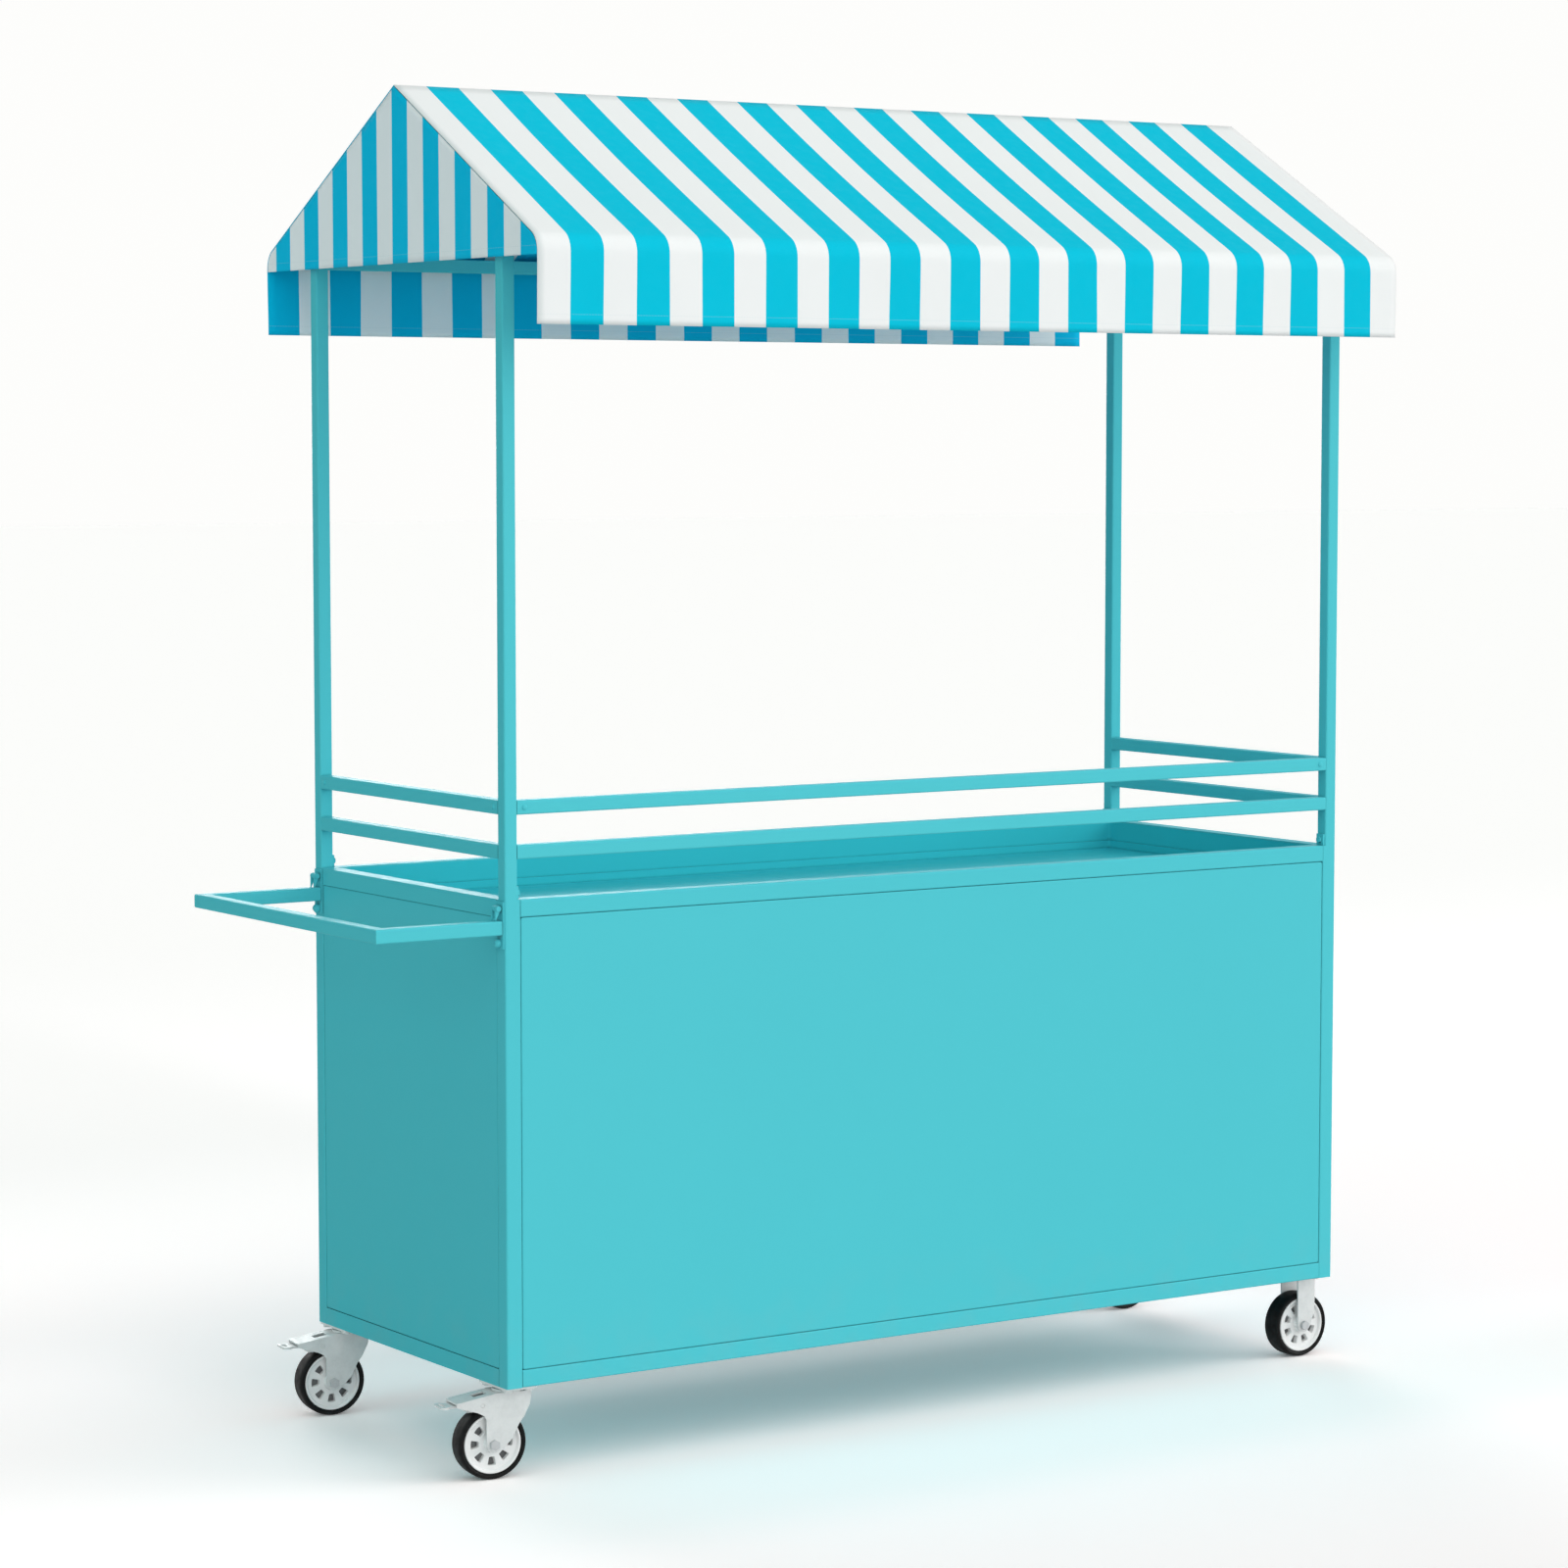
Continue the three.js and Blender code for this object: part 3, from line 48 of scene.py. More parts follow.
# The canopy's section, as the CAD cover has it: a hanging valance, a bend and a straight slope
HALF_SPAN = 0.402
ROOF_HALF = 0.762
RIDGE_Z = 1.957
EAVE_Z = 1.728
HEM_Z = 1.611
GABLE_HEM_Z = 1.705
BEND_R = 0.032
SLOPE_ANGLE = math.atan((RIDGE_Z - EAVE_Z) / HALF_SPAN)
BEND_TURN = math.pi / 2 - SLOPE_ANGLE
BEND_Y = HALF_SPAN - BEND_R
BEND_Z = EAVE_Z - BEND_R * math.tan(BEND_TURN / 2)

# The roof's cloth: thickness, distance inside the CAD cover, gaps at its ends and hem, and rows
# and columns of the mesh
CLOTH = 0.001
SKIN = 0.0003
END_GAP = 0.0006
HEM_GAP = 0.0005
HANG_ROWS = 12
BEND_ROWS = 12
SLOPE_ROWS = 24
ROOF_COLUMNS = 117

# The slope's sag between the trusses: its depth, the share of it that is the same all along, how
# fast the rest varies, the distances from the middle where it starts to fade and is gone, and the
# stiff strip above the bend
SAG = 0.0035
SAG_EVEN = 0.8
SAG_RATE = 9.0
SAG_FADES, SAG_ENDS = 0.60, 0.72
STIFF_STRIP = 0.03

# The valance's waves, as height, rate, phase and phase of the side, and its pull to the inside
RIPPLES = ((0.0011, 11.3, 0.0, 0.7), (0.0007, 27.1, 1.9, 1.0), (0.0004, 61.0, 0.0, 2.6))
HEM_PULL = 0.0009

# The gable's cloth: distance under the roof's outside, gaps, least height, and rows and columns,
# which stand closer together towards the sides
GABLE_THICK = CLOTH * 0.8
GABLE_INSET = 0.0022
GABLE_SIDE_GAP = 0.0005
GABLE_TOP_GAP = 0.0004
GABLE_END_GAP = 0.0009
GABLE_LEAST = 0.0006
GABLE_ROWS = 21
GABLE_COLUMNS = 121
GABLE_CROWDING = 1.15
GABLE_SET_IN = 0.0002
GABLE_HANG = 0.0003
GABLE_WAVE = 0.00025
GABLE_WAVE_RATE = 33.0
AREA_STRIPS = 400

# Stripes and stitches
STRIPES = 29
PITCH = ROOF_HALF * 2 / STRIPES
GABLE_PITCH = 0.0455
GABLE_START = 0.007
ROOF_SEAM = 0.014
GABLE_SEAM = 0.012
THREAD_HALF = 0.0004
STITCH_STEP = 0.0045
STITCH_SHARE = 0.68
WEAVE_RATE = 5200.0

# Wheels: sides of their round forms, and the web with its ring of pockets
ROUND = 96
HUB_ROUND = 64
BORE_ROUND = 48
WEB_R = 0.0390
WEB_BORE_R = 0.010
WEB_HALF = 0.0110
WEB_SOFT = 0.0008
POCKETS = 8
POCKET_ROUND = 0.0022
POCKET_CORNERS = ((0.0184, -0.0045), (0.0315, -0.0073), (0.0324, 0.0), (0.0315, 0.0073),
                  (0.0184, 0.0045))
CORNER_SHARE = 0.45
CASTER_TURN = math.radians(-8.0)

EDGE_SOFT = 0.0004


# Colours and node helpers

def lin(r, g, b):
    """sRGB 0-255 to linear RGBA."""
    def one(v):
        v /= 255
        return v / 12.92 if v <= 0.04045 else ((v + 0.055) / 1.055) ** 2.4
    return (one(r), one(g), one(b), 1.0)


def darker(colour, share):
    return tuple(c * share for c in colour[:3]) + (1,)


class Tree:
    """The node tree of a material or world, with short calls for the nodes in use here."""

    def __init__(self, owner):
        owner.use_nodes = True
        self.tree = owner.node_tree

    def node(self, kind, **values):
        made = self.tree.nodes.new(kind)
        for key, value in values.items():
            setattr(made, key, value)
        return made

    def link(self, a, b):
        self.tree.links.new(a, b)

    def feed(self, socket, value):
        if isinstance(value, bpy.types.NodeSocket):
            self.link(value, socket)
        else:
            socket.default_value = value

    def math(self, operation, a, b=0.0):
        made = self.node("ShaderNodeMath", operation=operation)
        for socket, value in zip(made.inputs, (a, b)):
            self.feed(socket, value)
        return made.outputs[0]

    def split(self, vector):
        """The sockets of a vector's parts, by the names X, Y and Z."""
        made = self.node("ShaderNodeSeparateXYZ")
        self.link(vector, made.inputs[0])
        return dict(zip("XYZ", made.outputs))

    def ramp(self, value, low, high, out_low, out_high, curve="LINEAR"):
        made = self.node("ShaderNodeMapRange", interpolation_type=curve)
        for socket, item in zip(made.inputs, (value, low, high, out_low, out_high)):
            self.feed(socket, item)
        return made.outputs[0]

    def hump(self, value, foot, top, top_end, foot_end):
        """Rises smoothly from 0 at foot to 1 at top, and falls to 0 again at foot_end."""
        rise = self.ramp(value, foot, top, 0.0, 1.0, "SMOOTHSTEP")
        fall = self.ramp(value, top_end, foot_end, 1.0, 0.0, "SMOOTHSTEP")
        return self.math("MULTIPLY", rise, fall)

    def mix(self, factor, a, b, blend="MIX"):
        made = self.node("ShaderNodeMix", data_type="RGBA", blend_type=blend)
        self.feed(made.inputs["Factor"], factor)
        self.feed(made.inputs["A"], a)
        self.feed(made.inputs["B"], b)
        return made.outputs["Result"]

    def seen(self):
        """1 for rays by which a thing is seen or mirrored, 0 for those that carry its light on."""
        path = self.node("ShaderNodeLightPath")
        return self.math("MAXIMUM", path.outputs["Is Camera Ray"],
                         self.math("MAXIMUM", path.outputs["Is Glossy Ray"],
                                   path.outputs["Is Transmission Ray"]))


class Graph(Tree):
    """A new material's tree, with the place in the row frame and the main shader at hand."""

    def __init__(self, name):
        self.mat = bpy.data.materials.new(name)
        super().__init__(self.mat)
        self.shader = self.tree.nodes["Principled BSDF"]
        self.place = self.node("ShaderNodeTexCoord").outputs["Object"]
        self.axes = self.split(self.place)

    def noise(self, scale, detail=2.0):
        made = self.node("ShaderNodeTexNoise")
        self.link(self.place, made.inputs["Vector"])
        made.inputs["Scale"].default_value = scale
        made.inputs["Detail"].default_value = detail
        return made.outputs[0]

    def bump(self, height, strength, distance):
        made = self.node("ShaderNodeBump")
        made.inputs["Strength"].default_value = strength
        made.inputs["Distance"].default_value = distance
        self.link(height, made.inputs["Height"])
        self.link(made.outputs[0], self.shader.inputs["Normal"])

    def set(self, **values):
        for key, value in values.items():
            self.feed(self.shader.inputs[key.replace("_", " ")], value)


# Materials

def paint_material(name, colour, shine):
    """Sprayed paint: broad unevenness, painted shade in the seams and crevices, dust near the floor
    and a fine grain.
    """
    g = Graph(name)
    uneven = g.ramp(g.noise(3.0, 3.0), 0.3, 0.7, 0.0, 0.06)
    tone = g.mix(uneven, colour, darker(colour, 0.82))
    # Painted shade: the colour darkens towards a dark teal where ambient occlusion finds crevices
    # and seams.
    crevice = g.node("ShaderNodeAmbientOcclusion", samples=8)
    crevice.inputs["Distance"].default_value = 0.007
    painted_crevice_shade = g.ramp(crevice.outputs["AO"], 0.25, 0.75, 0.7, 0.0)
    tone = g.mix(painted_crevice_shade, tone, darker(colour, 0.3))
    low = g.ramp(g.axes["Z"], 0.13, 0.26, 1.0, 0.0)
    dust = g.math("MULTIPLY", low, g.ramp(g.noise(14.0, 5.0), 0.45, 0.75, 0.0, 0.14))
    g.set(Base_Color=g.mix(dust, tone, lin(150, 176, 176)))
    g.set(Roughness=g.ramp(g.noise(40.0, 3.0), 0.3, 0.7, 0.36, 0.46))
    g.set(Specular_IOR_Level=shine, Coat_Weight=0.02, Coat_Roughness=0.25)
    g.bump(g.noise(900.0, 1.0), 0.12, 0.0002)
    return g.mat


def zinc_material(name, colour, rough):
    """Zinc plating, cloudy and with a small spangle."""
    g = Graph(name)
    cloudy = g.noise(60.0, 4.0)
    spangle = g.node("ShaderNodeTexVoronoi", feature="F1")
    g.link(g.place, spangle.inputs["Vector"])
    spangle.inputs["Scale"].default_value = 260.0
    spread = g.math("MULTIPLY", spangle.outputs["Distance"], 0.35)
    dull = g.ramp(cloudy, 0.35, 0.75, 0.0, 0.3)
    g.set(Base_Color=g.mix(dull, colour, darker(colour, 0.72)))
    g.set(Roughness=g.math("ADD", g.ramp(cloudy, 0.3, 0.7, rough, rough + 0.12), spread))
    g.set(Metallic=0.35, Specular_IOR_Level=0.5)
    g.bump(g.noise(700.0, 2.0), 0.1, 0.0002)
    return g.mat


def plastic_material(name, colour):
    """Moulded plastic, a little soiled."""
    g = Graph(name)
    soiled = g.ramp(g.noise(30.0, 4.0), 0.4, 0.8, 0.0, 0.25)
    g.set(Base_Color=g.mix(soiled, colour, lin(196, 196, 192)))
    g.set(Roughness=g.ramp(g.noise(80.0), 0.3, 0.7, 0.38, 0.5), Specular_IOR_Level=0.5)
    g.bump(g.noise(1200.0, 1.0), 0.08, 0.0001)
    return g.mat


def rubber_material(name):
    """Black rubber, worn grey in places."""
    g = Graph(name)
    worn = g.ramp(g.noise(55.0, 5.0), 0.45, 0.8, 0.0, 0.5)
    g.set(Base_Color=g.mix(worn, lin(9, 9, 10), lin(34, 34, 34)))
    g.set(Roughness=g.ramp(g.noise(90.0), 0.3, 0.7, 0.55, 0.75), Specular_IOR_Level=0.2)
    g.bump(g.noise(1500.0, 2.0), 0.25, 0.0003)
    return g.mat


def weave(g, along, across):
    """A plain weave's height from two crossing waves, with a little slub."""
    a = g.math("SINE", g.math("MULTIPLY", along, WEAVE_RATE))
    b = g.math("SINE", g.math("MULTIPLY", across, WEAVE_RATE))
    slub = g.math("MULTIPLY", g.noise(500.0, 2.0), 0.8)
    return g.math("ADD", g.math("MULTIPLY", a, b), slub)


def stitches(g, along, up, height):
    """1 on the dashes of a line of stitches at a height."""
    offset = g.math("ABSOLUTE", g.math("SUBTRACT", up, height))
    on_line = g.math("LESS_THAN", offset, THREAD_HALF)
    step = g.math("FRACT", g.math("DIVIDE", along, STITCH_STEP))
    return g.math("MULTIPLY", on_line, g.math("LESS_THAN", step, STITCH_SHARE))


def stripe_mask(g, along, start, pitch):
    """1 on every second stripe of width pitch, counted from start."""
    count = g.math("FLOOR", g.math("DIVIDE", g.math("SUBTRACT", along, start), pitch))
    return g.math("MODULO", g.math("ABSOLUTE", count), 2.0)


def roof_mask(g):
    """Blue stripes of the roof: the front half starts white, and the back half starts blue."""
    front = stripe_mask(g, g.axes["X"], SHIFT - ROOF_HALF, PITCH)
    back = g.math("GREATER_THAN", g.axes["Y"], 0.0)
    return g.math("ABSOLUTE", g.math("SUBTRACT", front, back))


def gable_mask(g):
    """Blue where the stripe's number, counted from GABLE_START, is odd."""
    return stripe_mask(g, g.axes["Y"], GABLE_START, GABLE_PITCH)


def cloth_material(name, mask_of, along_axis, seam_z, blue, white):
    """Coated striped cloth. mask_of(g) is 1 on blue, and stitches run along the axis at seam_z."""
    g = Graph(name)
    along, up = g.axes[along_axis], g.axes["Z"]
    faded = g.ramp(g.noise(2.2, 4.0), 0.35, 0.75, 0.0, 0.10)
    cool = g.mix(faded, blue, tuple(min(1, c * 1.15 + 0.01) for c in blue[:3]) + (1,))
    pale = g.mix(faded, white, lin(222, 226, 230))
    thread = g.math("MULTIPLY", stitches(g, along, up, seam_z), 0.22)
    g.set(Base_Color=g.mix(thread, g.mix(mask_of(g), pale, cool), lin(196, 214, 220)))
    g.set(Roughness=g.ramp(g.noise(60.0), 0.3, 0.7, 0.62, 0.78))
    g.set(Specular_IOR_Level=0.05, Sheen_Weight=0.01, Sheen_Roughness=0.5)
    g.bump(weave(g, along, up), 0.18, 0.00025)
    return g.mat


PAINT = paint_material("frame_paint_look", lin(85, 202, 213), 0.015)
# The tray has the frame's paint; this copy has less red, which is painted shade for the tray under
# the canopy.
TRAY_PAINT_SHADED_COPY = paint_material("tray_paint_look", lin(62, 199, 211), 0.008)
ZINC = zinc_material("zinc_look", lin(222, 224, 224), 0.34)
STEEL = zinc_material("bolt_look", lin(196, 198, 200), 0.34)
PLASTIC = plastic_material("wheel_plastic_look", lin(240, 241, 241))
# Dark grey plastic for the disc at the bottom of the wheel's pockets: painted shade where the
# pockets are in shadow.
POCKET_PAINTED_SHADE = plastic_material("wheel_pocket_look", lin(98, 100, 102))
RUBBER = rubber_material("tyre_look")
# The inner side of the roof and the gables take brighter and bluer whites and blues than the outer
# side of the same cloth: painted light that offsets their shade.
SHADE_LIFTED_WHITE = lin(250, 253, 255)
ROOF_CLOTH = cloth_material("roof_cloth_look", roof_mask, "X", HEM_Z + ROOF_SEAM,
                            lin(0, 195, 223), lin(243, 245, 245))
ROOF_INSIDE = cloth_material("roof_inside_look", roof_mask, "X", HEM_Z + ROOF_SEAM,
                             lin(0, 190, 234), SHADE_LIFTED_WHITE)
GABLE_CLOTH = cloth_material("gable_cloth_look", gable_mask, "Y", GABLE_HEM_Z + GABLE_SEAM,
                             lin(0, 198, 240), SHADE_LIFTED_WHITE)

# Looks of the CAD nodes by the ends of their names. The rest of them is painted.
LOOKS = (
    (("_axle", "_pull"), STEEL),
    (("_fork", "_brake_pedal", "_caster_plate", "right_bracket"), ZINC),
    (("_rim",), PLASTIC),
    (("_tyre",), RUBBER),
    (("roof_cover",), ROOF_CLOTH),
    (("_gable",), GABLE_CLOTH),
    (("counter_tray",), TRAY_PAINT_SHADED_COPY),
)


# Mesh helpers

def add_object(name, data):
    obj = bpy.data.objects.new(name, data)
    bpy.context.scene.collection.objects.link(obj)
    return obj


def make_object(name, verts, faces, material, body="cart"):
    """A smooth-shaded piece that rides on a body."""
    mesh = bpy.data.meshes.new(name)
    mesh.from_pydata([tuple(v) for v in verts], [], faces)
    mesh.validate()
    mesh.update()
    for face in mesh.polygons:
        face.use_smooth = True
    mesh.materials.append(material)
    obj = add_object(name, mesh)
    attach(obj, body)
    return obj


def grid_faces(rows, cols, wrap=False):
    """Faces of a grid of points in rows. With wrap, each row is a ring."""
    last = cols if wrap else cols - 1
    faces = []
    for r in range(rows - 1):
        low, high = r * cols, (r + 1) * cols
        for c in range(last):
            on = (c + 1) % cols
            faces.append((low + c, low + on, high + on, high + c))
    return faces


def thicken(obj, thickness):
    """Gives a sheet its thickness, away from the side that its faces show."""
    mod = obj.modifiers.new("thickness", "SOLIDIFY")
    mod.thickness = thickness
    mod.offset = -1.0
    mod.use_even_offset = True
    return mod


def smoothstep(a, b, v):
    """0 up to a and 1 from b on, with a smooth rise between."""
    t = max(0.0, min(1.0, (v - a) / (b - a)))
    return t * t * (3 - 2 * t)


# Canopy cloth

def roof_half_profile(inset, hem):
    """Points (y, z, normal y, normal z) of half the roof's section, from the hem to the ridge."""
    points = []
    for i in range(HANG_ROWS):
        points.append((HALF_SPAN - inset, hem + (BEND_Z - hem) * i / HANG_ROWS, 1.0, 0.0))
    radius = BEND_R - inset
    for i in range(BEND_ROWS + 1):
        turn = BEND_TURN * i / BEND_ROWS
        ny, nz = math.cos(turn), math.sin(turn)
        points.append((BEND_Y + radius * ny, BEND_Z + radius * nz, ny, nz))
    foot_y, foot_z = points[-1][:2]
    top_z = RIDGE_Z - inset / math.cos(SLOPE_ANGLE)
    for i in range(1, SLOPE_ROWS + 1):
        t = i / SLOPE_ROWS
        points.append((foot_y * (1 - t), foot_z + (top_z - foot_z) * t,
                       math.sin(SLOPE_ANGLE), math.cos(SLOPE_ANGLE)))
    return points


def ripple(x, side):
    """The slow wave of the hanging valance, which isn't the same on both sides."""
    return sum(height * math.sin(x * rate + phase + side_phase * side)
               for height, rate, phase, side_phase in RIPPLES)


def roof_point(y, z, ny, nz, x, side):
    """A point of the plain section, moved by the slope's sag and the valance's waves."""
    along = x - SHIFT
    slack = 0.0
    if z > BEND_Z + STIFF_STRIP:
        across = math.sin(math.pi * min(1.0, y / BEND_Y))
        free = 1.0 - smoothstep(SAG_FADES, SAG_ENDS, abs(along))
        slack = SAG * across * free * (SAG_EVEN + (1 - SAG_EVEN) * math.cos(along * SAG_RATE))
    hang = smoothstep(BEND_Z, HEM_Z, z)
    out = (ripple(x, side) - HEM_PULL) * hang - slack
    return (x, side * (y + ny * out), z + nz * out)


def roof_sheet():
    """The roof's cloth in one piece, from hem over ridge to hem."""
    half = roof_half_profile(SKIN, HEM_Z + HEM_GAP)
    section = [(point, 1) for point in half] + [(point, -1) for point in reversed(half[:-1])]
    left = SHIFT - ROOF_HALF + END_GAP
    width = (ROOF_HALF - END_GAP) * 2
    verts = [roof_point(*point, left + width * c / (ROOF_COLUMNS - 1), side)
             for point, side in section for c in range(ROOF_COLUMNS)]
    faces = [face[::-1] for face in grid_faces(len(section), ROOF_COLUMNS)]
    obj = make_object("canopy_roof_cloth", verts, faces, ROOF_CLOTH)
    obj.data.materials.append(ROOF_INSIDE)
    thicken(obj, CLOTH).material_offset = 1
    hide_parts("roof_cover")


def gable_sheet(end, side):
    """The triangle of cloth that hangs under the roof's end, with a slight wave at its hem."""
    edge = [point[:2] for point in roof_half_profile(GABLE_INSET, GABLE_HEM_Z)]

    def top_at(y):
        """Height of the roof's underside at y."""
        for (y0, z0), (y1, z1) in zip(edge, edge[1:]):
            if y1 <= abs(y) <= y0:
                share = 0 if y0 == y1 else (y0 - abs(y)) / (y0 - y1)
                return z0 + (z1 - z0) * share
        return edge[0][1]

    reach = max(y for y, _ in edge) - GABLE_SIDE_GAP
    x_out = SHIFT + side * (ROOF_HALF - GABLE_END_GAP)
    verts = []
    for r in range(GABLE_ROWS):
        up = r / (GABLE_ROWS - 1)
        for c in range(GABLE_COLUMNS):
            across = c / (GABLE_COLUMNS - 1) * 2 - 1
            y = reach * math.copysign(1 - (1 - abs(across)) ** GABLE_CROWDING, across)
            top = max(top_at(y) - GABLE_TOP_GAP, GABLE_HEM_Z + GABLE_LEAST)
            z = GABLE_HEM_Z + (top - GABLE_HEM_Z) * up
            free = (1 - up) * (1 - (abs(y) / reach) ** 4)
            wave = GABLE_WAVE * math.sin(y * GABLE_WAVE_RATE + side)
            verts.append((x_out - side * (GABLE_SET_IN + (GABLE_HANG + wave) * free), y, z))
    faces = grid_faces(GABLE_ROWS, GABLE_COLUMNS)
    if side > 0:
        faces = [face[::-1] for face in faces]
    obj = make_object(end + "_gable_cloth", verts, faces, GABLE_CLOTH)
    thicken(obj, GABLE_THICK)
    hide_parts(end + "_gable")
    span = reach * 2
    for k in range(AREA_STRIPS):
        y = -reach + span * (k + 0.5) / AREA_STRIPS


# Wheels

def mirrored(half):
    """A closed outline from its half: the same points once more, in reverse, on the other side."""
    return half + [(radius, -y) for radius, y in reversed(half)]


# Outlines of (radius, y) points: the tyre with two shallow steps in each side, the rim's ring and
# hub, and the thin dark disc at the bottom of the pockets, which is painted shade
TYRE_OUTLINE = mirrored([
    (0.0432, 0.0146), (0.0440, 0.0151), (0.0453, 0.0160), (0.0464, 0.0167), (0.0474, 0.0168),
    (0.0486, 0.0162), (0.0497, 0.0149), (0.0505, 0.0130), (0.0509, 0.0100), (0.0510, 0.0050)])
RING_OUTLINE = mirrored([
    (0.0372, 0.0104), (0.0380, 0.0116), (0.0388, 0.0138), (0.0398, 0.0152), (0.0414, 0.0154),
    (0.0423, 0.0150), (0.0426, 0.0138)])
HUB_OUTLINE = mirrored([
    (0.0045, 0.0172), (0.0100, 0.0174), (0.0108, 0.0169), (0.0112, 0.0160), (0.0120, 0.0118),
    (0.0132, 0.0104)])
SHADE_DISC_OUTLINE = mirrored([(0.0100, 0.0025), (0.0385, 0.0025)])


def circle(radius, count):
    return [(radius * math.cos(2 * math.pi * k / count), radius * math.sin(2 * math.pi * k / count))
            for k in range(count)]


def rounded(points, radius, steps):
    """Rounds the corners of a closed outline."""
    out = []
    count = len(points)
    for i in range(count):
        before, corner, after = (Vector(points[(i + k) % count]) for k in (-1, 0, 1))
        back, on = before - corner, after - corner
        cutoff = min(radius, back.length * CORNER_SHARE, on.length * CORNER_SHARE)
        start = corner + back.normalized() * cutoff
        end = corner + on.normalized() * cutoff
        for s in range(steps + 1):
            t = s / steps
            out.append(tuple(start * (1 - t) ** 2 + corner * 2 * t * (1 - t) + end * t * t))
    return out


def lathe(name, outline, centre, turn, material, body, segments=ROUND):
    """A closed outline of (radius, y) points swept round the axle, and then turned about Z."""
    spin = Matrix.Rotation(turn, 4, "Z")
    verts = []
    for radius, y in outline:
        for x, z in circle(radius, segments):
            verts.append(Vector(centre) + spin @ Vector((x, y, z)))
    faces = grid_faces(len(outline), segments, wrap=True)
    last = (len(outline) - 1) * segments
    for k in range(segments):
        on = (k + 1) % segments
        faces.append((last + k, last + on, on, k))
    return make_object(name, verts, [face[::-1] for face in faces], material, body)


def wheel_web(name, centre, turn, body, phase):
    """The web between hub and rim: a disc with a ring of rounded pockets, from a filled curve."""
    curve = bpy.data.curves.new(name + "_curve", "CURVE")
    curve.dimensions = "2D"
    curve.fill_mode = "BOTH"
    curve.extrude = WEB_HALF - WEB_SOFT
    curve.bevel_depth = WEB_SOFT
    curve.bevel_resolution = 2

    def ring(points):
        spline = curve.splines.new("POLY")
        spline.points.add(len(points) - 1)
        for item, (x, y) in zip(spline.points, points):
            item.co = (x, y, 0, 1)
        spline.use_cyclic_u = True

    ring(circle(WEB_R, ROUND))
    ring(circle(WEB_BORE_R, BORE_ROUND))
    for k in range(POCKETS):
        a = 2 * math.pi * k / POCKETS + phase
        ring([(x * math.cos(a) - y * math.sin(a), x * math.sin(a) + y * math.cos(a))
              for x, y in rounded(POCKET_CORNERS, POCKET_ROUND, 3)])
    temp = add_object(name + "_temp", curve)
    temp.matrix_world = (Matrix.Translation(centre) @ Matrix.Rotation(turn, 4, "Z")
                         @ Matrix.Rotation(math.pi / 2, 4, "X"))
    bpy.context.view_layer.update()
    graph = bpy.context.evaluated_depsgraph_get()
    mesh = bpy.data.meshes.new_from_object(temp.evaluated_get(graph))
    mesh.transform(temp.matrix_world)
    bpy.data.objects.remove(temp)
    mesh.name = name
    mesh.materials.clear()
    mesh.materials.append(PLASTIC)
    obj = add_object(name, mesh)
    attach(obj, body)


def wheel(prefix, turn, phase):
    """A smooth tyre, and a rim of four pieces, one of them a dark disc of painted shade at the
    bottom of the pockets, in place of the faceted ones of a wheel.
    """
    body = prefix + "_wheel"
    low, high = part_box(prefix + "_tyre")
    centre = (low + high) / 2
    tyre = lathe(prefix + "_tyre_smooth", TYRE_OUTLINE, centre, turn, RUBBER, body)
    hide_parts(prefix + "_tyre")
    rim = lathe(prefix + "_rim_ring", RING_OUTLINE, centre, turn, PLASTIC, body)
    lathe(prefix + "_rim_hub", HUB_OUTLINE, centre, turn, PLASTIC, body,
          HUB_ROUND)
    wheel_web(prefix + "_rim_web", centre, turn, body, phase)
    # The dark disc in the pockets, which is painted shade.
    lathe(prefix + "_rim_core", SHADE_DISC_OUTLINE, centre, turn, POCKET_PAINTED_SHADE, body,
          HUB_ROUND)
    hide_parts(prefix + "_rim")


# Looks of the CAD nodes

def dress_frame():
    """Procedural materials and softened edges."""
    for name, obj in NODES.items():
        look = next((look for ends, look in LOOKS if name.endswith(ends)), PAINT)
        if not obj.material_slots:
            obj.data.materials.append(look)
        for item in obj.material_slots:
            item.material = look
        soften = obj.modifiers.new("soft_edges", "BEVEL")
        soften.width = EDGE_SOFT
        soften.segments = 2
        soften.limit_method = "ANGLE"
        soften.angle_limit = math.radians(40)


# Stage, light and camera

FLOOR_HALF = 60.0
FLOOR_LIGHTING = (0.70, 0.70, 0.71, 1)
FLOOR_SEEN = (1.225, 1.15, 1.14, 1)

# Light that the seen floor adds, so that its shadow has the photo's shape: some everywhere, and
# soft patches, each with a span in y, a span in x and a colour. A span has the four places where
# the patch starts, is full, starts to fade and ends.
FLOOR_GLOW = (0.02, 0.03, 0.03, 1)
GLOW_PATCHES = (
    ((-0.15, 0.8, 1.3, 2.8), (-1.9, -1.0, 0.2, 1.0), (0.15, 0.13, 0.13)),
    ((-1.2, -0.6, 0.5, 1.1), (-2.4, -1.6, -0.9, -0.6), (0.10, 0.085, 0.085)),
    ((-0.4, -0.1, 2.5, 6.0), (0.5, 0.95, 6.0, 10.0), (0.07, 0.06, 0.07)),
    ((0.05, 0.20, 0.35, 0.60), (-0.8, -0.4, 0.9, 1.2), (0.12, 0.12, 0.12)),
    # This patch is below zero: painted shade on the floor under the cart.
    ((-0.28, -0.1, 0.05, 0.20), (-0.9, -0.5, 0.75, 1.0), (-0.07, -0.05, -0.04)),
    ((-2.2, -1.2, -0.8, -0.55), (-1.5, -0.5, 0.8, 1.8), (0.09, 0.045, 0.045)),
    ((1.0, 2.2, 500, 600), (-600, -500, 500, 600), (-0.02, 0.025, 0.025)),
)

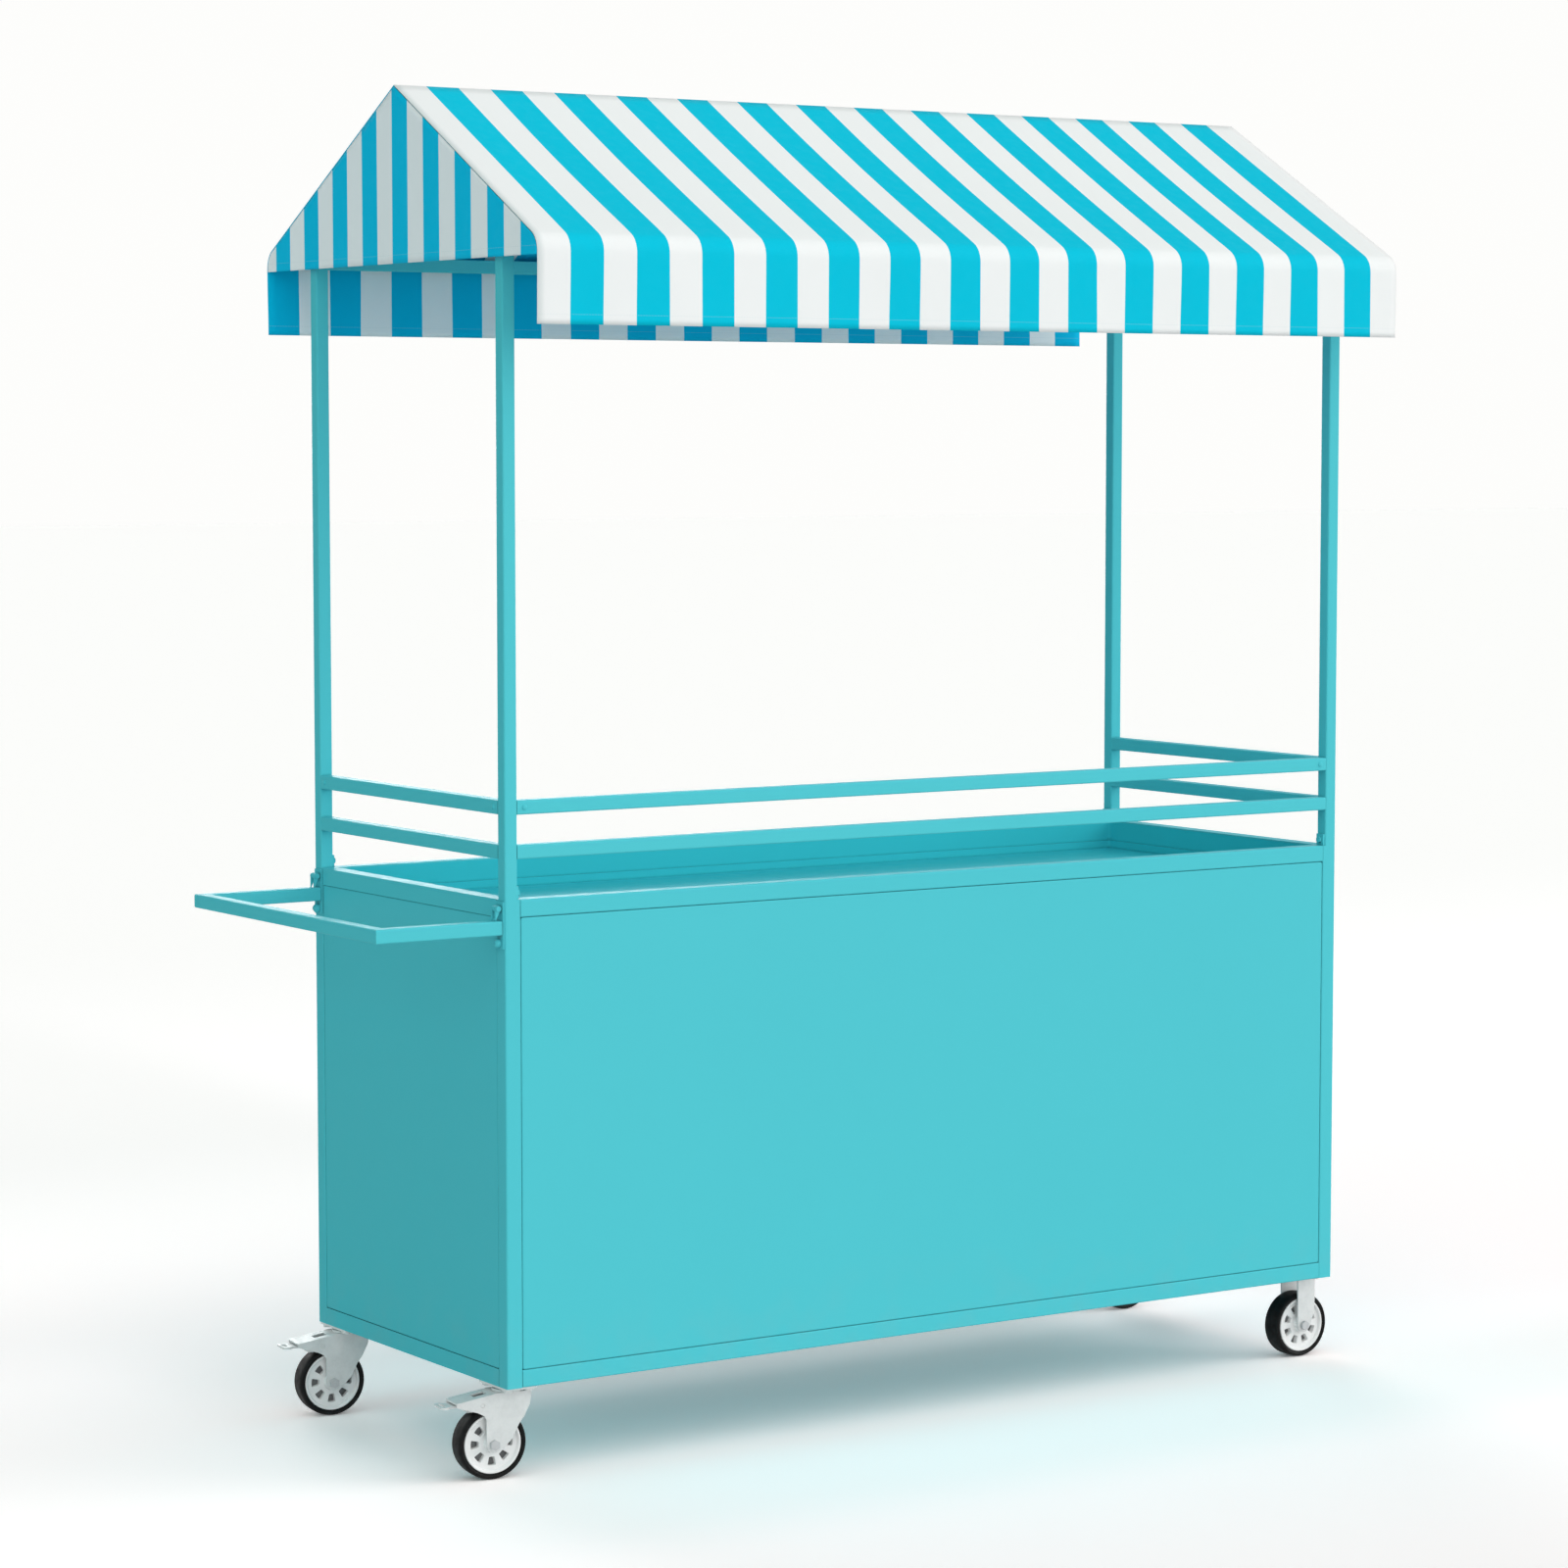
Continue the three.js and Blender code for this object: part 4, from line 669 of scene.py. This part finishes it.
# The world: the colour and level that the camera sees, and the levels of light from straight
# above and from straight ahead, which fall to 0 at the sides
BACKDROP = (1, 1, 0.985, 1)
BACKDROP_LEVEL = 0.985
LIGHT_ABOVE = 0.369
LIGHT_AHEAD = 1.484

# The lamps: name, the way that the light goes, strength, width in degrees and colour
SUNS = (
    ("back", (-0.254, -0.945, -0.208), 1.54, 35, (1, 1, 1)),
    ("right", (-0.841, 0.420, -0.342), 0.95, 40, (1, 1, 1)),
    ("left", (0.939, 0.047, -0.342), 0.34, 40, (0.3, 1.0, 1.0)),
)

# The camera, as it was fitted to the photo
SENSOR_MM = 36.0
LENS_MM = 100.33
CAMERA_PLACE = (-3.6524, -5.5196, 1.4616)
CAMERA_DIP = 4.56
CAMERA_HEADING = -33.39


def build_camera():
    data = bpy.data.cameras.new("camera")
    data.sensor_width = SENSOR_MM
    data.lens = LENS_MM
    data.clip_start, data.clip_end = 0.1, 200
    cam = add_object("camera", data)
    cam.location = CAMERA_PLACE
    cam.rotation_euler = (math.radians(90 - CAMERA_DIP), 0.0, math.radians(CAMERA_HEADING))
    bpy.context.scene.camera = cam


def build_stage():
    """A pale floor. What the camera sees of it is lighter than what lights the cart."""
    mesh = bpy.data.meshes.new("floor")
    corners = [(x * FLOOR_HALF, y * FLOOR_HALF, 0) for x, y in ((-1, -1), (1, -1), (1, 1), (-1, 1))]
    mesh.from_pydata(corners, [], [(0, 1, 2, 3)])
    floor = add_object("floor", mesh)
    g = Graph("floor_look")
    g.tree.nodes.remove(g.shader)
    plain = g.node("ShaderNodeBsdfDiffuse")
    plain.inputs["Color"].default_value = FLOOR_LIGHTING
    pale = g.node("ShaderNodeBsdfDiffuse")
    pale.inputs["Color"].default_value = FLOOR_SEEN
    light = FLOOR_GLOW
    for y_span, x_span, colour in GLOW_PATCHES:
        patch = g.math("MULTIPLY", g.hump(g.axes["Y"], *y_span), g.hump(g.axes["X"], *x_span))
        light = g.mix(patch, light, colour + (1,), "ADD")
    glow = g.node("ShaderNodeEmission")
    g.link(light, glow.inputs["Color"])
    lifted = g.node("ShaderNodeAddShader")
    g.link(pale.outputs[0], lifted.inputs[0])
    g.link(glow.outputs[0], lifted.inputs[1])
    choose = g.node("ShaderNodeMixShader")
    g.link(g.seen(), choose.inputs[0])
    g.link(plain.outputs[0], choose.inputs[1])
    g.link(lifted.outputs[0], choose.inputs[2])
    g.link(choose.outputs[0], g.tree.nodes["Material Output"].inputs["Surface"])
    floor.data.materials.append(g.mat)


def build_light():
    """Three wide suns, and a world whose light comes from above and from ahead."""
    world = bpy.data.worlds.new("studio")
    bpy.context.scene.world = world
    g = Tree(world)
    axes = g.split(g.node("ShaderNodeTexCoord").outputs["Generated"])
    lamp = g.math("ADD", g.ramp(axes["Z"], 0.0, 1.0, 0.0, LIGHT_ABOVE),
                  g.ramp(axes["Y"], -1.0, 0.0, LIGHT_AHEAD, 0.0))
    back = g.tree.nodes["Background"]
    back.inputs["Color"].default_value = BACKDROP
    g.link(g.ramp(g.seen(), 0.0, 1.0, lamp, BACKDROP_LEVEL), back.inputs["Strength"])
    for name, way, strength, width, colour in SUNS:
        data = bpy.data.lights.new(name, "SUN")
        data.energy = strength
        data.color = colour
        data.angle = math.radians(width)
        obj = add_object(name, data)
        obj.rotation_mode = "QUATERNION"
        obj.rotation_quaternion = Vector(way).to_track_quat("-Z", "Y")


build_camera()
build_stage()
build_light()
dress_frame()
roof_sheet()
gable_sheet("left", -1)
gable_sheet("right", 1)
for place in ("front_left", "back_left"):
    wheel(place, CASTER_TURN, 0.0)
for place in ("front_right", "back_right"):
    wheel(place, 0.0, math.pi / POCKETS)

bpy.context.scene.view_settings.view_transform = "Standard"
bpy.context.view_layer.update()
